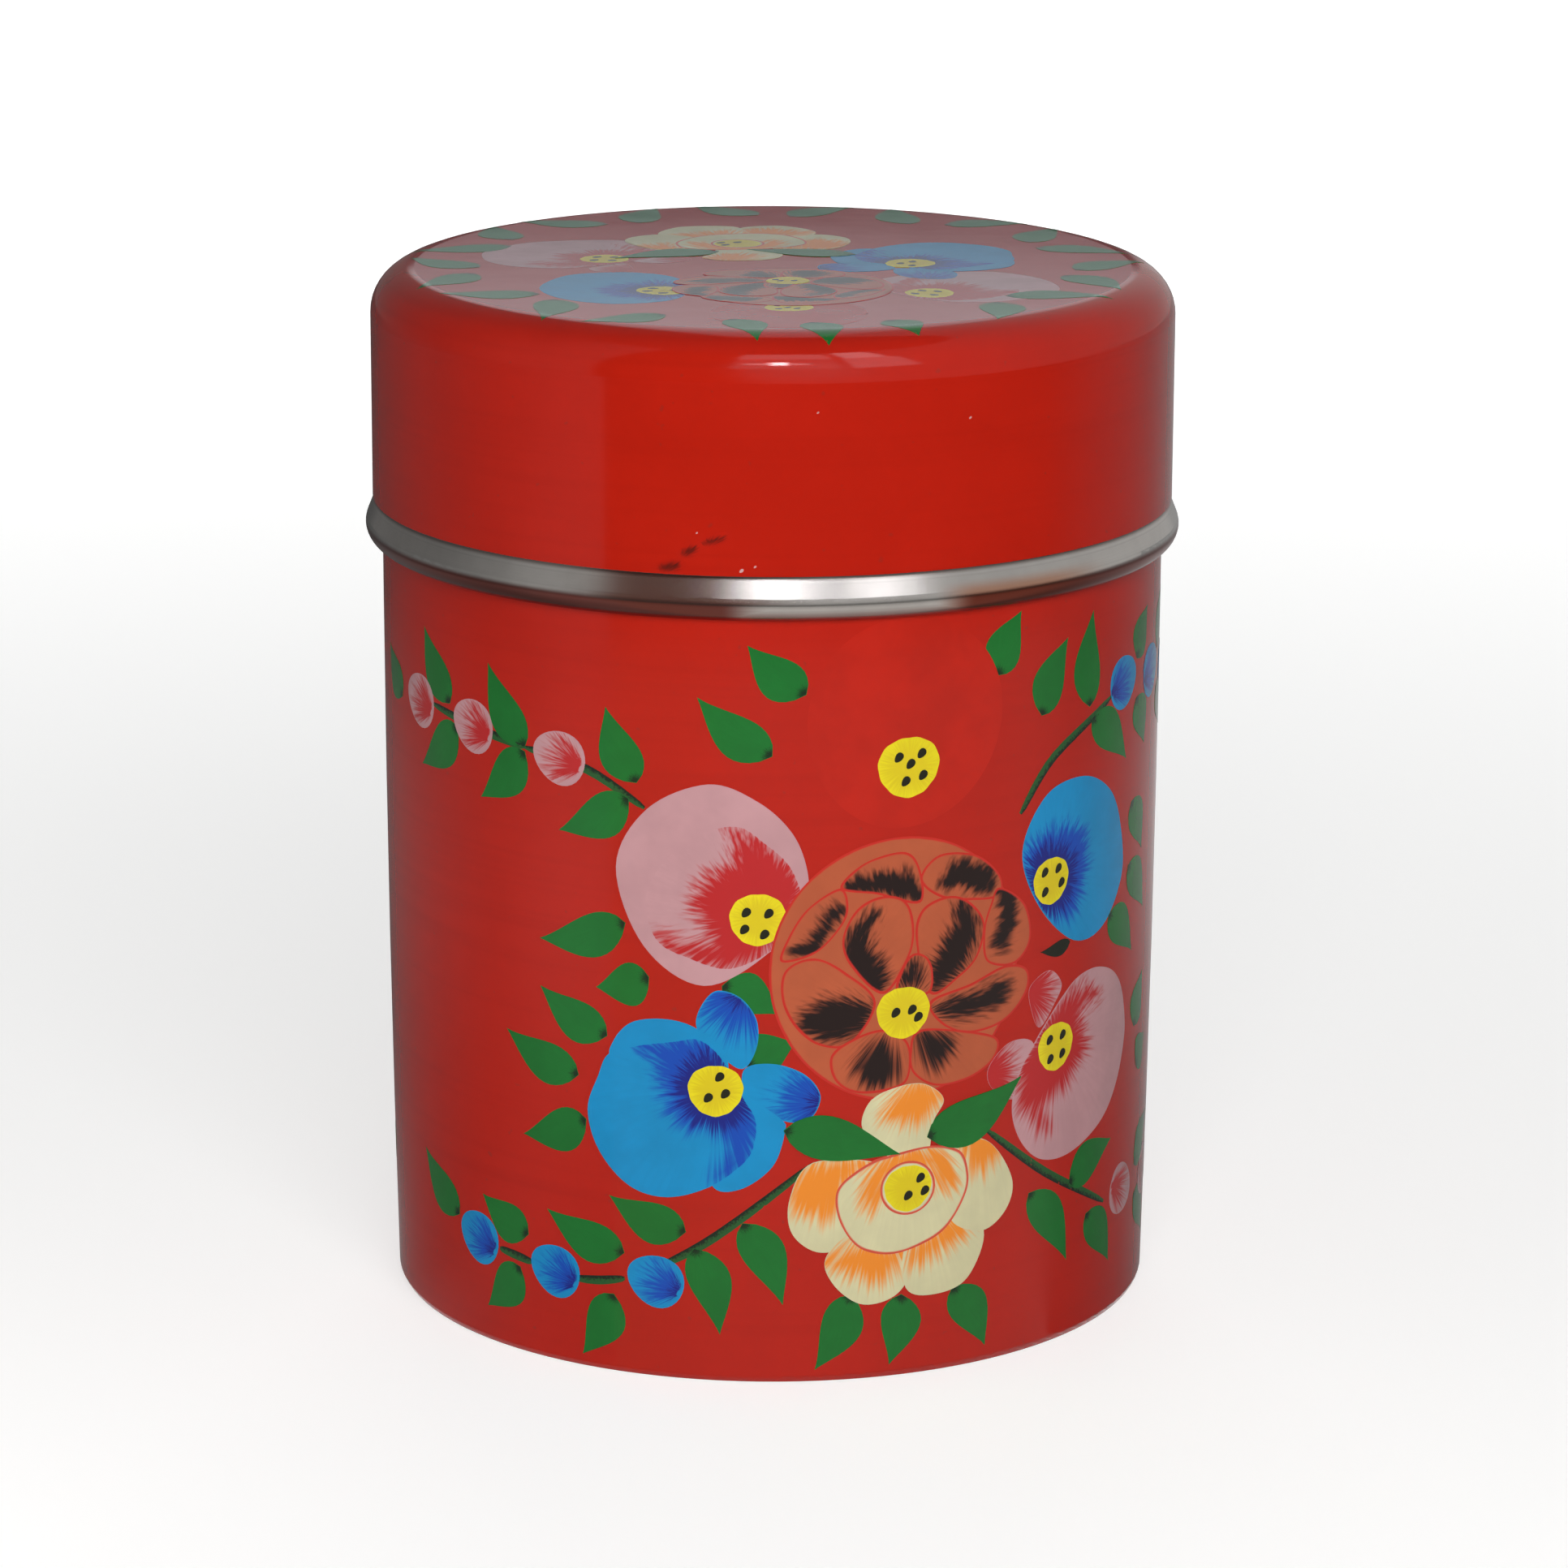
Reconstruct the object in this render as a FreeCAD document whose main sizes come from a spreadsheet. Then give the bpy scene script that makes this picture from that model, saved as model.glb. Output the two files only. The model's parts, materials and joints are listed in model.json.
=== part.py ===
"""Round steel tea caddy with a slip-over lid, painted with red enamel.

The frame stands on the caddy's foot: origin at the centre of the foot, +Z up, millimetres.
Every piece is a profile drawn in the XZ plane and turned about Z.
"""
import FreeCAD, Part

import math
import os

import Sketcher

# Driving dimensions in millimetres, as the rows of the document's spreadsheet.
SIZES = {
    "overall_height": 130.0,    # foot to the top of the closed lid
    "lid_diameter": 100.0,      # lid skirt, over its coat
    "lid_shoulder": 5.5,        # round edge of the lid's top, over its coat
    "lid_sheet": 0.5,           # steel of the lid
    "bead_drop": 31.9,          # lid top down to the crest of the bead
    "bead_proud": 0.9,          # crest beyond the painted skirt
    "bead_nose": 2.2,           # round of the bead
    "bead_face": 2.4,           # sloping face over that round
    "bead_flare": 0.6,          # hollow that leads from the skirt into the face
    "lid_bare": 0.1,            # bare steel between the coat and the flare
    "skirt_gap": 0.7,           # lid skirt to the bare neck of the can
    "lip_gap": 0.3,             # lip of the bead to the can's coat
    "seat_gap": 0.1,            # can mouth to the inside of the lid's shoulder
    "can_sheet": 0.5,           # steel of the wall
    "mouth_curl": 1.1,          # round of the rolled-in mouth
    "straight_band": 10.1,      # straight wall from the bead down to where it draws in
    "foot_draw": 1.0,           # how far it has drawn in at the foot
    "foot_corner": 1.2,         # round between wall and foot hem
    "hem_width": 3.2,           # foot hem, turned in under the base
    "foot_bare": 0.35,          # bare steel under the can's coat
    "coat": 0.2,                # enamel paint
    "base_sheet": 0.5,          # steel of the base pan
    "base_fit": 0.05,           # pan flange to the wall
    "base_flange": 5.0,         # height of the pan's flange
    "base_ease": 0.8,           # pan corner, beyond the round of the wall's inner corner
    "pan_ring": 4.7,            # flat ring of the pan, on the foot hem
    "panel_rise": 1.5,          # raised centre panel over that ring
    "panel_step": 1.5,          # rounds of the step up to the panel
}

# Sizes that follow from the driving dimensions, in the sheet's own terms.
LID_RADIUS = "Sizes.lid_diameter / 2"
LID_STEEL = f"({LID_RADIUS} - Sizes.coat)"
WALL_RADIUS = f"({LID_STEEL} - Sizes.lid_sheet - Sizes.skirt_gap)"
BEAD_HEIGHT = "(Sizes.overall_height - Sizes.bead_drop)"
NOSE_CENTRE = f"({LID_RADIUS} + Sizes.bead_proud - Sizes.bead_nose)"
LIP_RADIUS = f"({WALL_RADIUS} + Sizes.coat + Sizes.lip_gap)"
BEAD_ROUNDS = "(Sizes.bead_flare + Sizes.bead_nose)"
BEAD_STEP = "(Sizes.coat + Sizes.bead_proud)"
BEAD_SPAN = f"(Sizes.bead_face^2 + {BEAD_ROUNDS}^2)"
FLARE_HEIGHT = f"({BEAD_HEIGHT} + sqrt({BEAD_SPAN} - ({BEAD_ROUNDS} - {BEAD_STEP})^2))"
SHOULDER_CENTRE = f"({LID_RADIUS} - Sizes.lid_shoulder)"
SHOULDER_HEIGHT = "(Sizes.overall_height - Sizes.lid_shoulder)"
SEAT_ROUND = "(Sizes.lid_shoulder - Sizes.coat - Sizes.lid_sheet - Sizes.seat_gap - Sizes.mouth_curl)"
SEAT_OFFSET = f"max(0; {WALL_RADIUS} - Sizes.mouth_curl - {SHOULDER_CENTRE})"
MOUTH_HEIGHT = f"({SHOULDER_HEIGHT} + sqrt({SEAT_ROUND}^2 - {SEAT_OFFSET}^2))"
TAPER_START = f"({BEAD_HEIGHT} - Sizes.straight_band)"
TAPER_RADIUS = f"(({TAPER_START}^2 + Sizes.foot_draw^2) / (2 * Sizes.foot_draw))"
FOOT_RADIUS = f"({WALL_RADIUS} - Sizes.foot_draw)"
HEM_RADIUS = f"({FOOT_RADIUS} - Sizes.hem_width)"
FLANGE_RADIUS = f"({FOOT_RADIUS} - Sizes.can_sheet - Sizes.base_fit)"
BASE_CORNER = "(Sizes.foot_corner - Sizes.can_sheet + Sizes.base_ease)"
STEP_RADIUS = f"({FLANGE_RADIUS} - {BASE_CORNER} - Sizes.pan_ring)"
PANEL_HEIGHT = "(Sizes.can_sheet + Sizes.panel_rise)"

# Numbers by which a sketch knows its axes and the points of an edge.
X_AXIS, Z_AXIS = range(-1, -3, -1)
ORIGIN = X_AXIS
START, END, CENTRE = range(1, 4)

# Edges that turn by less than this where they meet run on smoothly.
SMOOTH_TURN = math.radians(1)

doc = FreeCAD.newDocument("tea_caddy")
sheet = doc.addObject("Spreadsheet::Sheet", "Sizes")
for row, (alias, millimetres) in enumerate(SIZES.items(), start=1):
    sheet.set(f"A{row}", alias)
    sheet.set(f"B{row}", str(millimetres))
    sheet.setAlias(f"B{row}", alias)
doc.recompute()


def size(expression):
    """The value of an expression over the sheet's cells."""
    return float(sheet.evalExpression(expression))


def line(start, end):
    return Part.LineSegment(FreeCAD.Vector(*start, 0), FreeCAD.Vector(*end, 0))


def arc(centre, radius, first, last):
    """Counter-clockwise arc between two angles in radians."""
    circle = Part.Circle(FreeCAD.Vector(*centre, 0), FreeCAD.Vector(0, 0, 1), radius)
    return Part.ArcOfCircle(circle, first, last)


class Profile:
    """A closed outline in the XZ plane of a body, turned about Z into the body's solid."""

    def __init__(self, label):
        self.label = label
        self.body = doc.addObject("PartDesign::Body", label)
        self.body.Label = label
        self.sketch = self.body.newObject("Sketcher::SketchObject", f"{label}_profile")
        plane = next(f for f in self.body.Origin.OriginFeatures if f.Role == "XZ_Plane")
        self.sketch.AttachmentSupport = [(plane, "")]
        self.sketch.MapMode = "FlatFace"
        self.edges = {}

    def draw(self, edges):
        """Adds the edges in order and joins each to the next, smoothly where they meet without a corner."""
        self.edges = {name: self.sketch.addGeometry(edge, False) for name, edge in edges.items()}
        names = list(edges)
        for name, following in zip(names, names[1:] + names[:1]):
            here, there = nearest_ends(edges[name], edges[following])
            kind = "Tangent" if runs_on(edges[name], here, edges[following], there) else "Coincident"
            self.sketch.addConstraint(
                Sketcher.Constraint(kind, self.edges[name], here, self.edges[following], there))

    def level(self, *names):
        for name in names:
            self.sketch.addConstraint(Sketcher.Constraint("Horizontal", self.edges[name]))

    def upright(self, *names):
        for name in names:
            self.sketch.addConstraint(Sketcher.Constraint("Vertical", self.edges[name]))

    def on_axis(self, name, point, axis):
        self.sketch.addConstraint(Sketcher.Constraint("PointOnObject", self.edges[name], point, axis))

    def below_centre(self, name, point):
        """Keeps an arc's end straight above or below its centre."""
        edge = self.edges[name]
        self.sketch.addConstraint(Sketcher.Constraint("Vertical", edge, CENTRE, edge, point))

    def radius(self, name, expression):
        self._bind(f"{name}_radius", ("Radius", self.edges[name]), expression)

    def length(self, name, expression):
        self._bind(f"{name}_length", ("Distance", self.edges[name]), expression)

    def out(self, name, point, expression):
        """Binds a point's distance from the axis of the caddy."""
        self._bind(f"{name}_{point}_out", ("DistanceX", ORIGIN, START, self.edges[name], point), expression)

    def up(self, name, point, expression):
        """Binds a point's height over the foot."""
        self._bind(f"{name}_{point}_up", ("DistanceY", ORIGIN, START, self.edges[name], point), expression)

    def _bind(self, name, terms, expression):
        index = self.sketch.addConstraint(Sketcher.Constraint(*terms, size(expression)))
        self.sketch.renameConstraint(index, name)
        self.sketch.setExpression(f"Constraints.{name}", expression)

    def turn(self):
        """Turns the outline about Z."""
        revolution = self.body.newObject("PartDesign::Revolution", f"{self.label}_turned")
        revolution.Profile = self.sketch
        revolution.ReferenceAxis = (self.sketch, ["V_Axis"])
        revolution.Angle = 360.0
        self.sketch.Visibility = False
        self.body.Placement = FreeCAD.Placement()
        return self.body


def end_point(edge, end):
    return edge.StartPoint if end == START else edge.EndPoint


def nearest_ends(edge, other):
    """The ends at which two edges meet."""
    pairs = [(a, b) for a in (START, END) for b in (START, END)]
    return min(pairs, key=lambda p: end_point(edge, p[0]).distanceToPoint(end_point(other, p[1])))


def direction(edge, end):
    parameter = edge.FirstParameter if end == START else edge.LastParameter
    return FreeCAD.Vector(*edge.tangent(parameter)[0])


def runs_on(edge, end, other, other_end):
    """True where two edges share their direction at the joint."""
    turn = direction(edge, end).cross(direction(other, other_end)).Length
    return turn < math.sin(SMOOTH_TURN)


def wall_face(depth, low_angle):
    """Corner, taper and straight of the can's wall, from low to high, at a depth inside its outer face."""
    wall = size(WALL_RADIUS)
    taper = size(TAPER_RADIUS)
    corner = size("Sizes.foot_corner")
    start = size(TAPER_START)
    taper_centre = (wall - taper, start)
    corner_out = taper_centre[0] + math.sqrt((taper - corner) ** 2 - (start - corner) ** 2)
    meet = math.atan2(corner - start, corner_out - taper_centre[0])
    corner_arc = arc((corner_out, corner), corner - depth, low_angle, meet)
    taper_arc = arc(taper_centre, taper - depth, meet, 0)
    return corner_out, corner_arc, taper_arc


def can_wall():
    """Tube with a foot hem turned in, a wall that draws in gently towards the foot and a mouth curl."""
    wall = size(WALL_RADIUS)
    gauge = size("Sizes.can_sheet")
    start = size(TAPER_START)
    mouth = size(MOUTH_HEIGHT)
    curl = size("Sizes.mouth_curl")
    hem = size(HEM_RADIUS)
    down, right, under = -math.pi / 2, 0, 1.5 * math.pi
    corner_out, outer_corner, outer_taper = wall_face(0, down)
    _, inner_corner, inner_taper = wall_face(gauge, down)
    curl_centre = (wall - curl, mouth)

    profile = Profile("can_wall")
    profile.draw({
        "hem_under": line((hem, 0), (corner_out, 0)),
        "outer_corner": outer_corner,
        "outer_taper": outer_taper,
        "outer_wall": line((wall, start), (wall, mouth)),
        "outer_curl": arc(curl_centre, curl, right, under),
        "curl_edge": line((curl_centre[0], mouth - curl), (curl_centre[0], mouth - curl + gauge)),
        "inner_curl": arc(curl_centre, curl - gauge, right, under),
        "inner_wall": line((wall - gauge, mouth), (wall - gauge, start)),
        "inner_taper": inner_taper,
        "inner_corner": inner_corner,
        "hem_top": line((corner_out, gauge), (hem, gauge)),
        "hem_edge": line((hem, gauge), (hem, 0)),
    })
    profile.level("hem_under", "hem_top")
    profile.upright("outer_wall", "inner_wall", "hem_edge")
    profile.on_axis("hem_under", START, X_AXIS)
    profile.out("hem_under", START, HEM_RADIUS)
    profile.up("hem_top", END, "Sizes.can_sheet")
    for side, depth in (("outer", ""), ("inner", " - Sizes.can_sheet")):
        profile.radius(f"{side}_corner", f"Sizes.foot_corner{depth}")
        profile.radius(f"{side}_taper", f"{TAPER_RADIUS}{depth}")
        profile.radius(f"{side}_curl", f"Sizes.mouth_curl{depth}")
        profile.out(f"{side}_taper", END, f"{WALL_RADIUS}{depth}")
        profile.up(f"{side}_taper", END, TAPER_START)
        profile.up(f"{side}_curl", START, MOUTH_HEIGHT)
        profile.below_centre(f"{side}_curl", END)
    return profile.turn()


def can_base():
    """Pressed pan behind the foot hem, with an upturned flange and a raised centre panel."""
    gauge = size("Sizes.base_sheet")
    ring = size("Sizes.can_sheet")
    panel = size(PANEL_HEIGHT)
    step = size("Sizes.panel_step")
    corner = size(BASE_CORNER)
    flange = size(FLANGE_RADIUS)
    top = ring + size("Sizes.base_flange")
    rounds = 2 * step + gauge
    fall = rounds - (panel - ring)
    step_width = math.sqrt(rounds ** 2 - fall ** 2)
    low_centre = (size(STEP_RADIUS), ring + gauge + step)
    high_centre = (low_centre[0] - step_width, panel - step)
    lean = math.atan2(fall, step_width)
    corner_centre = (flange - corner, ring + corner)
    down, right, above = -math.pi / 2, 0, math.pi / 2

    profile = Profile("can_base")
    profile.draw({
        "panel_under": line((0, panel), (high_centre[0], panel)),
        "high_step_under": arc(high_centre, step, lean, above),
        "low_step_under": arc(low_centre, step + gauge, math.pi + lean, 2 * math.pi + down),
        "ring_under": line((low_centre[0], ring), (corner_centre[0], ring)),
        "corner_under": arc(corner_centre, corner, down, right),
        "flange_out": line((flange, corner_centre[1]), (flange, top)),
        "flange_edge": line((flange, top), (flange - gauge, top)),
        "flange_in": line((flange - gauge, top), (flange - gauge, corner_centre[1])),
        "corner_top": arc(corner_centre, corner - gauge, down, right),
        "ring_top": line((corner_centre[0], ring + gauge), (low_centre[0], ring + gauge)),
        "low_step_top": arc(low_centre, step, math.pi + lean, 2 * math.pi + down),
        "high_step_top": arc(high_centre, step + gauge, lean, above),
        "panel_top": line((high_centre[0], panel + gauge), (0, panel + gauge)),
        "middle": line((0, panel + gauge), (0, panel)),
    })
    profile.level("panel_under", "ring_under", "flange_edge", "ring_top", "panel_top")
    profile.upright("flange_out", "flange_in")
    profile.on_axis("middle", START, Z_AXIS)
    profile.on_axis("middle", END, Z_AXIS)
    for face, depth in (("under", ""), ("top", " + Sizes.base_sheet")):
        profile.up(f"panel_{face}", START, f"{PANEL_HEIGHT}{depth}")
        profile.up(f"ring_{face}", START, f"Sizes.can_sheet{depth}")
        profile.radius(f"high_step_{face}", f"Sizes.panel_step{depth}")
        profile.out(f"low_step_{face}", CENTRE, STEP_RADIUS)
    profile.radius("low_step_under", "Sizes.panel_step + Sizes.base_sheet")
    profile.radius("low_step_top", "Sizes.panel_step")
    profile.radius("corner_under", BASE_CORNER)
    profile.radius("corner_top", f"{BASE_CORNER} - Sizes.base_sheet")
    profile.out("flange_out", END, FLANGE_RADIUS)
    profile.out("flange_in", START, f"{FLANGE_RADIUS} - Sizes.base_sheet")
    profile.up("flange_edge", START, "Sizes.can_sheet + Sizes.base_flange")
    return profile.turn()


def can_enamel():
    """Coat on the outside of the wall, from the foot's corner up to where the lid hides it."""
    wall = size(WALL_RADIUS)
    coat = size("Sizes.coat")
    start = size(TAPER_START)
    corner = size("Sizes.foot_corner")
    bare = size("Sizes.foot_bare")
    top = size(BEAD_HEIGHT)
    outer_low = math.asin((bare - corner) / (corner + coat))
    inner_low = math.asin((bare - corner) / corner)
    _, outer_corner, outer_taper = wall_face(-coat, outer_low)
    _, inner_corner, inner_taper = wall_face(0, inner_low)

    profile = Profile("can_enamel")
    profile.draw({
        "outer_corner": outer_corner,
        "outer_taper": outer_taper,
        "outer_side": line((wall + coat, start), (wall + coat, top)),
        "top_edge": line((wall + coat, top), (wall, top)),
        "inner_side": line((wall, top), (wall, start)),
        "inner_taper": inner_taper,
        "inner_corner": inner_corner,
        "foot_edge": line(inner_corner.StartPoint[:2], outer_corner.StartPoint[:2]),
    })
    profile.level("top_edge", "foot_edge")
    profile.upright("outer_side", "inner_side")
    profile.up("top_edge", START, BEAD_HEIGHT)
    profile.up("foot_edge", START, "Sizes.foot_bare")
    for side, height in (("outer", " + Sizes.coat"), ("inner", "")):
        profile.radius(f"{side}_corner", f"Sizes.foot_corner{height}")
        profile.up(f"{side}_corner", CENTRE, "Sizes.foot_corner")
        profile.radius(f"{side}_taper", f"{TAPER_RADIUS}{height}")
        profile.out(f"{side}_taper", END, f"{WALL_RADIUS}{height}")
        profile.up(f"{side}_taper", END, TAPER_START)
    return profile.turn()


def lid_shell():
    """Drawn cap: a flat top, a round shoulder and a bead swaged out, with a sloping face and a turned-in lip."""
    gauge = size("Sizes.lid_sheet")
    top = size("Sizes.overall_height - Sizes.coat")
    skirt = size(LID_STEEL)
    shoulder = size("Sizes.lid_shoulder - Sizes.coat")
    shoulder_centre = (size(SHOULDER_CENTRE), size(SHOULDER_HEIGHT))
    nose = size("Sizes.bead_nose")
    flare = size("Sizes.bead_flare")
    nose_centre = (size(NOSE_CENTRE), size(BEAD_HEIGHT))
    flare_centre = (skirt + flare, size(FLARE_HEIGHT))
    lip = size(LIP_RADIUS)
    right, above, left = 0, math.pi / 2, math.pi
    rise = math.atan2(flare_centre[1] - nose_centre[1], flare_centre[0] - nose_centre[0])
    slope = rise - math.acos((nose + flare) / math.dist(nose_centre, flare_centre))
    outer_lip = -math.acos((lip - nose_centre[0]) / nose)
    inner_lip = -math.acos((lip - nose_centre[0]) / (nose - gauge))
    outer_nose = arc(nose_centre, nose, outer_lip, slope)
    inner_nose = arc(nose_centre, nose - gauge, inner_lip, slope)
    outer_flare = arc(flare_centre, flare, left, left + slope)
    inner_flare = arc(flare_centre, flare + gauge, left, left + slope)

    profile = Profile("lid_shell")
    profile.draw({
        "outer_top": line((0, top), (shoulder_centre[0], top)),
        "outer_shoulder": arc(shoulder_centre, shoulder, right, above),
        "outer_skirt": line((skirt, shoulder_centre[1]), (skirt, flare_centre[1])),
        "outer_flare": outer_flare,
        "outer_face": line(outer_flare.EndPoint[:2], outer_nose.EndPoint[:2]),
        "outer_nose": outer_nose,
        "lip": line(outer_nose.StartPoint[:2], inner_nose.StartPoint[:2]),
        "inner_nose": inner_nose,
        "inner_face": line(inner_nose.EndPoint[:2], inner_flare.EndPoint[:2]),
        "inner_flare": inner_flare,
        "inner_skirt": line((skirt - gauge, flare_centre[1]), (skirt - gauge, shoulder_centre[1])),
        "inner_shoulder": arc(shoulder_centre, shoulder - gauge, right, above),
        "inner_top": line((shoulder_centre[0], top - gauge), (0, top - gauge)),
        "middle": line((0, top - gauge), (0, top)),
    })
    profile.level("outer_top", "inner_top")
    profile.upright("outer_skirt", "inner_skirt", "lip")
    profile.on_axis("middle", START, Z_AXIS)
    profile.on_axis("middle", END, Z_AXIS)
    profile.out("lip", START, LIP_RADIUS)
    profile.radius("outer_flare", "Sizes.bead_flare")
    profile.radius("inner_flare", "Sizes.bead_flare + Sizes.lid_sheet")
    for side, depth in (("outer", ""), ("inner", " - Sizes.lid_sheet")):
        profile.out(f"{side}_skirt", START, f"{LID_STEEL}{depth}")
        profile.up(f"{side}_top", START, f"Sizes.overall_height - Sizes.coat{depth}")
        profile.radius(f"{side}_shoulder", f"Sizes.lid_shoulder - Sizes.coat{depth}")
        profile.radius(f"{side}_nose", f"Sizes.bead_nose{depth}")
        profile.length(f"{side}_face", "Sizes.bead_face")
        profile.out(f"{side}_nose", CENTRE, NOSE_CENTRE)
        profile.up(f"{side}_nose", CENTRE, BEAD_HEIGHT)
    return profile.turn()


def lid_enamel():
    """Coat on the lid's top, shoulder and skirt, down to the bare bead."""
    coat = size("Sizes.coat")
    top = size("Sizes.overall_height")
    skirt = size(LID_RADIUS)
    shoulder = size("Sizes.lid_shoulder")
    centre = (size(SHOULDER_CENTRE), size(SHOULDER_HEIGHT))
    edge = size(f"{FLARE_HEIGHT} + Sizes.lid_bare")
    right, above = 0, math.pi / 2

    profile = Profile("lid_enamel")
    profile.draw({
        "outer_top": line((0, top), (centre[0], top)),
        "outer_shoulder": arc(centre, shoulder, right, above),
        "outer_skirt": line((skirt, centre[1]), (skirt, edge)),
        "low_edge": line((skirt, edge), (skirt - coat, edge)),
        "inner_skirt": line((skirt - coat, edge), (skirt - coat, centre[1])),
        "inner_shoulder": arc(centre, shoulder - coat, right, above),
        "inner_top": line((centre[0], top - coat), (0, top - coat)),
        "middle": line((0, top - coat), (0, top)),
    })
    profile.level("outer_top", "inner_top", "low_edge")
    profile.upright("outer_skirt", "inner_skirt")
    profile.on_axis("middle", START, Z_AXIS)
    profile.on_axis("middle", END, Z_AXIS)
    profile.up("low_edge", START, f"{FLARE_HEIGHT} + Sizes.lid_bare")
    for side, depth in (("outer", ""), ("inner", " - Sizes.coat")):
        profile.out(f"{side}_skirt", START, f"{LID_RADIUS}{depth}")
        profile.up(f"{side}_top", START, f"Sizes.overall_height{depth}")
        profile.radius(f"{side}_shoulder", f"Sizes.lid_shoulder{depth}")
    return profile.turn()


pieces = [can_wall(), can_base(), can_enamel(), lid_shell(), lid_enamel()]
doc.recompute()

for item in doc.Objects:
    if "Invalid" in item.State or "Error" in item.State:
        raise RuntimeError(f"{item.Label} failed: {item.State}")
for piece in pieces:
    if piece.Shape.isNull() or not piece.Shape.isValid():
        raise RuntimeError(f"{piece.Label} has no valid shape")

os.makedirs("parts", exist_ok=True)
for piece in pieces:
    piece.Shape.exportStep(f"parts/{piece.Label}.step")
    box = piece.Shape.optimalBoundingBox()
    heights = f"{box.ZMin:.2f} to {box.ZMax:.2f} mm up"
    print(f"{piece.Label}: {piece.Shape.Volume:.0f} mm3, radius {box.XMax:.2f} mm, {heights}")
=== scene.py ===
"""Looks of a round tea caddy: red enamel painted with flower sprays, a bare steel bead, studio and camera.

Lengths are millimetres in the caddy's own frame, and metres in the materials, the stage and the lights.
Bearings run to the right, from the side that faces the camera.
"""

import json
import math
from dataclasses import dataclass

import bpy
import numpy as np
from mathutils import Matrix, Vector


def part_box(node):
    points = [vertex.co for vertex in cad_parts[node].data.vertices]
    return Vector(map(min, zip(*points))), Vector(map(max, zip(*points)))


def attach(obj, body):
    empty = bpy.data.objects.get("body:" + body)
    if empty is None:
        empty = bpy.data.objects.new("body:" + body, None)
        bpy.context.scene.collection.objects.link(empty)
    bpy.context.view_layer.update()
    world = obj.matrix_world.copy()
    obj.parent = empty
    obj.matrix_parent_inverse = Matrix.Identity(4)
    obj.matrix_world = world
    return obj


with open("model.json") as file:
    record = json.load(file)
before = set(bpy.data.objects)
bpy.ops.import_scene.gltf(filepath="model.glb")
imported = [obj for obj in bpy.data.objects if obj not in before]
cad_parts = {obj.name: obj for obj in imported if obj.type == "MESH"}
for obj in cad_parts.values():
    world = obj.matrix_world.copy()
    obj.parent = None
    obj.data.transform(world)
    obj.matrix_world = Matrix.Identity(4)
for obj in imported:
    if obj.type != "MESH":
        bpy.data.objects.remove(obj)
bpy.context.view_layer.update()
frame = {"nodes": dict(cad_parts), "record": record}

MM = 0.001
TINY = 1e-9             # keeps a division from failing

# Painted surfaces of the caddy.
CAN_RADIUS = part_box("can_enamel")[1].x / MM
LID_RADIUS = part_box("lid_enamel")[1].x / MM
LID_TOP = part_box("lid_enamel")[1].z / MM
LID_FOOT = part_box("lid_enamel")[0].z / MM
LID_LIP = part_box("lid_shell")[0].z / MM
TAPER_START = 88.0      # height below which the can draws in
FOOT_DRAW = 1.0         # how far it has drawn in at the foot
LID_SHOULDER = 5.5      # round edge of the lid's top
LID_FLAT = LID_RADIUS - LID_SHOULDER

# Films of paint.
FILM_SINK = 0.02        # depth of a film's underside in the enamel
RING_STEP = 0.9         # distance between the rings of points of a film
HAIR_RADIUS = 6.0       # sets how many hairs a stroke has round its source
ROOT_SHARE = 0.08       # how much the hairs change along their length
NEAR_SOURCE = 0.01      # within it a hair has no direction of its own
NO_STROKE = 9.0         # a place that no stroke reaches

# How many films lie under each kind of motif, and under those that lie higher on the lid.
STEMS, LEAVES, FLOWERS, ROSETTE, ROSE = 1, 2, 3, 10, 26
LID_PANSY, LID_LEAVES, LID_ROSETTE = 7, 8, 14

# Places of the flower sprays.
BOUQUET_BEARINGS = (19.5, 199.5)    # degrees round the can
BOUQUET_HEIGHT = 52.4               # middle of the bouquet

# Wreath of leaves on the lid's top, with its angles in degrees.
WREATH_LEAVES, WREATH_START, WREATH_LEAN = 22, 8, 5
WREATH_GAP = (350, 25)              # bearings between which it is open, across the front
WREATH_INNER, WREATH_OUTER = 35.5, 45.5


def srgb(red, green, blue):
    """A colour as it looks on a screen, 0 to 255, as the linear colour of a shader."""
    def linear(level):
        share = level / 255
        return share / 12.92 if share <= 0.04045 else ((share + 0.055) / 1.055) ** 2.4
    return (linear(red), linear(green), linear(blue), 1.0)


RED = srgb(188, 31, 15)
PAINT_MIRROR = 0.28     # how strongly enamel and paint mirror


def towards(bearing, distance):
    """The place at a distance from the axis, on a bearing in degrees, seen from above."""
    turn = math.radians(bearing)
    return distance * math.sin(turn), -distance * math.cos(turn)


def direction(bearing, elevation):
    """The direction away from the caddy on a bearing and an elevation in degrees."""
    rise = math.radians(elevation)
    return Vector((*towards(bearing, math.cos(rise)), math.sin(rise)))


def placed(name, data):
    """A new object in the scene."""
    made = bpy.data.objects.new(name, data)
    bpy.context.scene.collection.objects.link(made)
    return made


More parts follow.
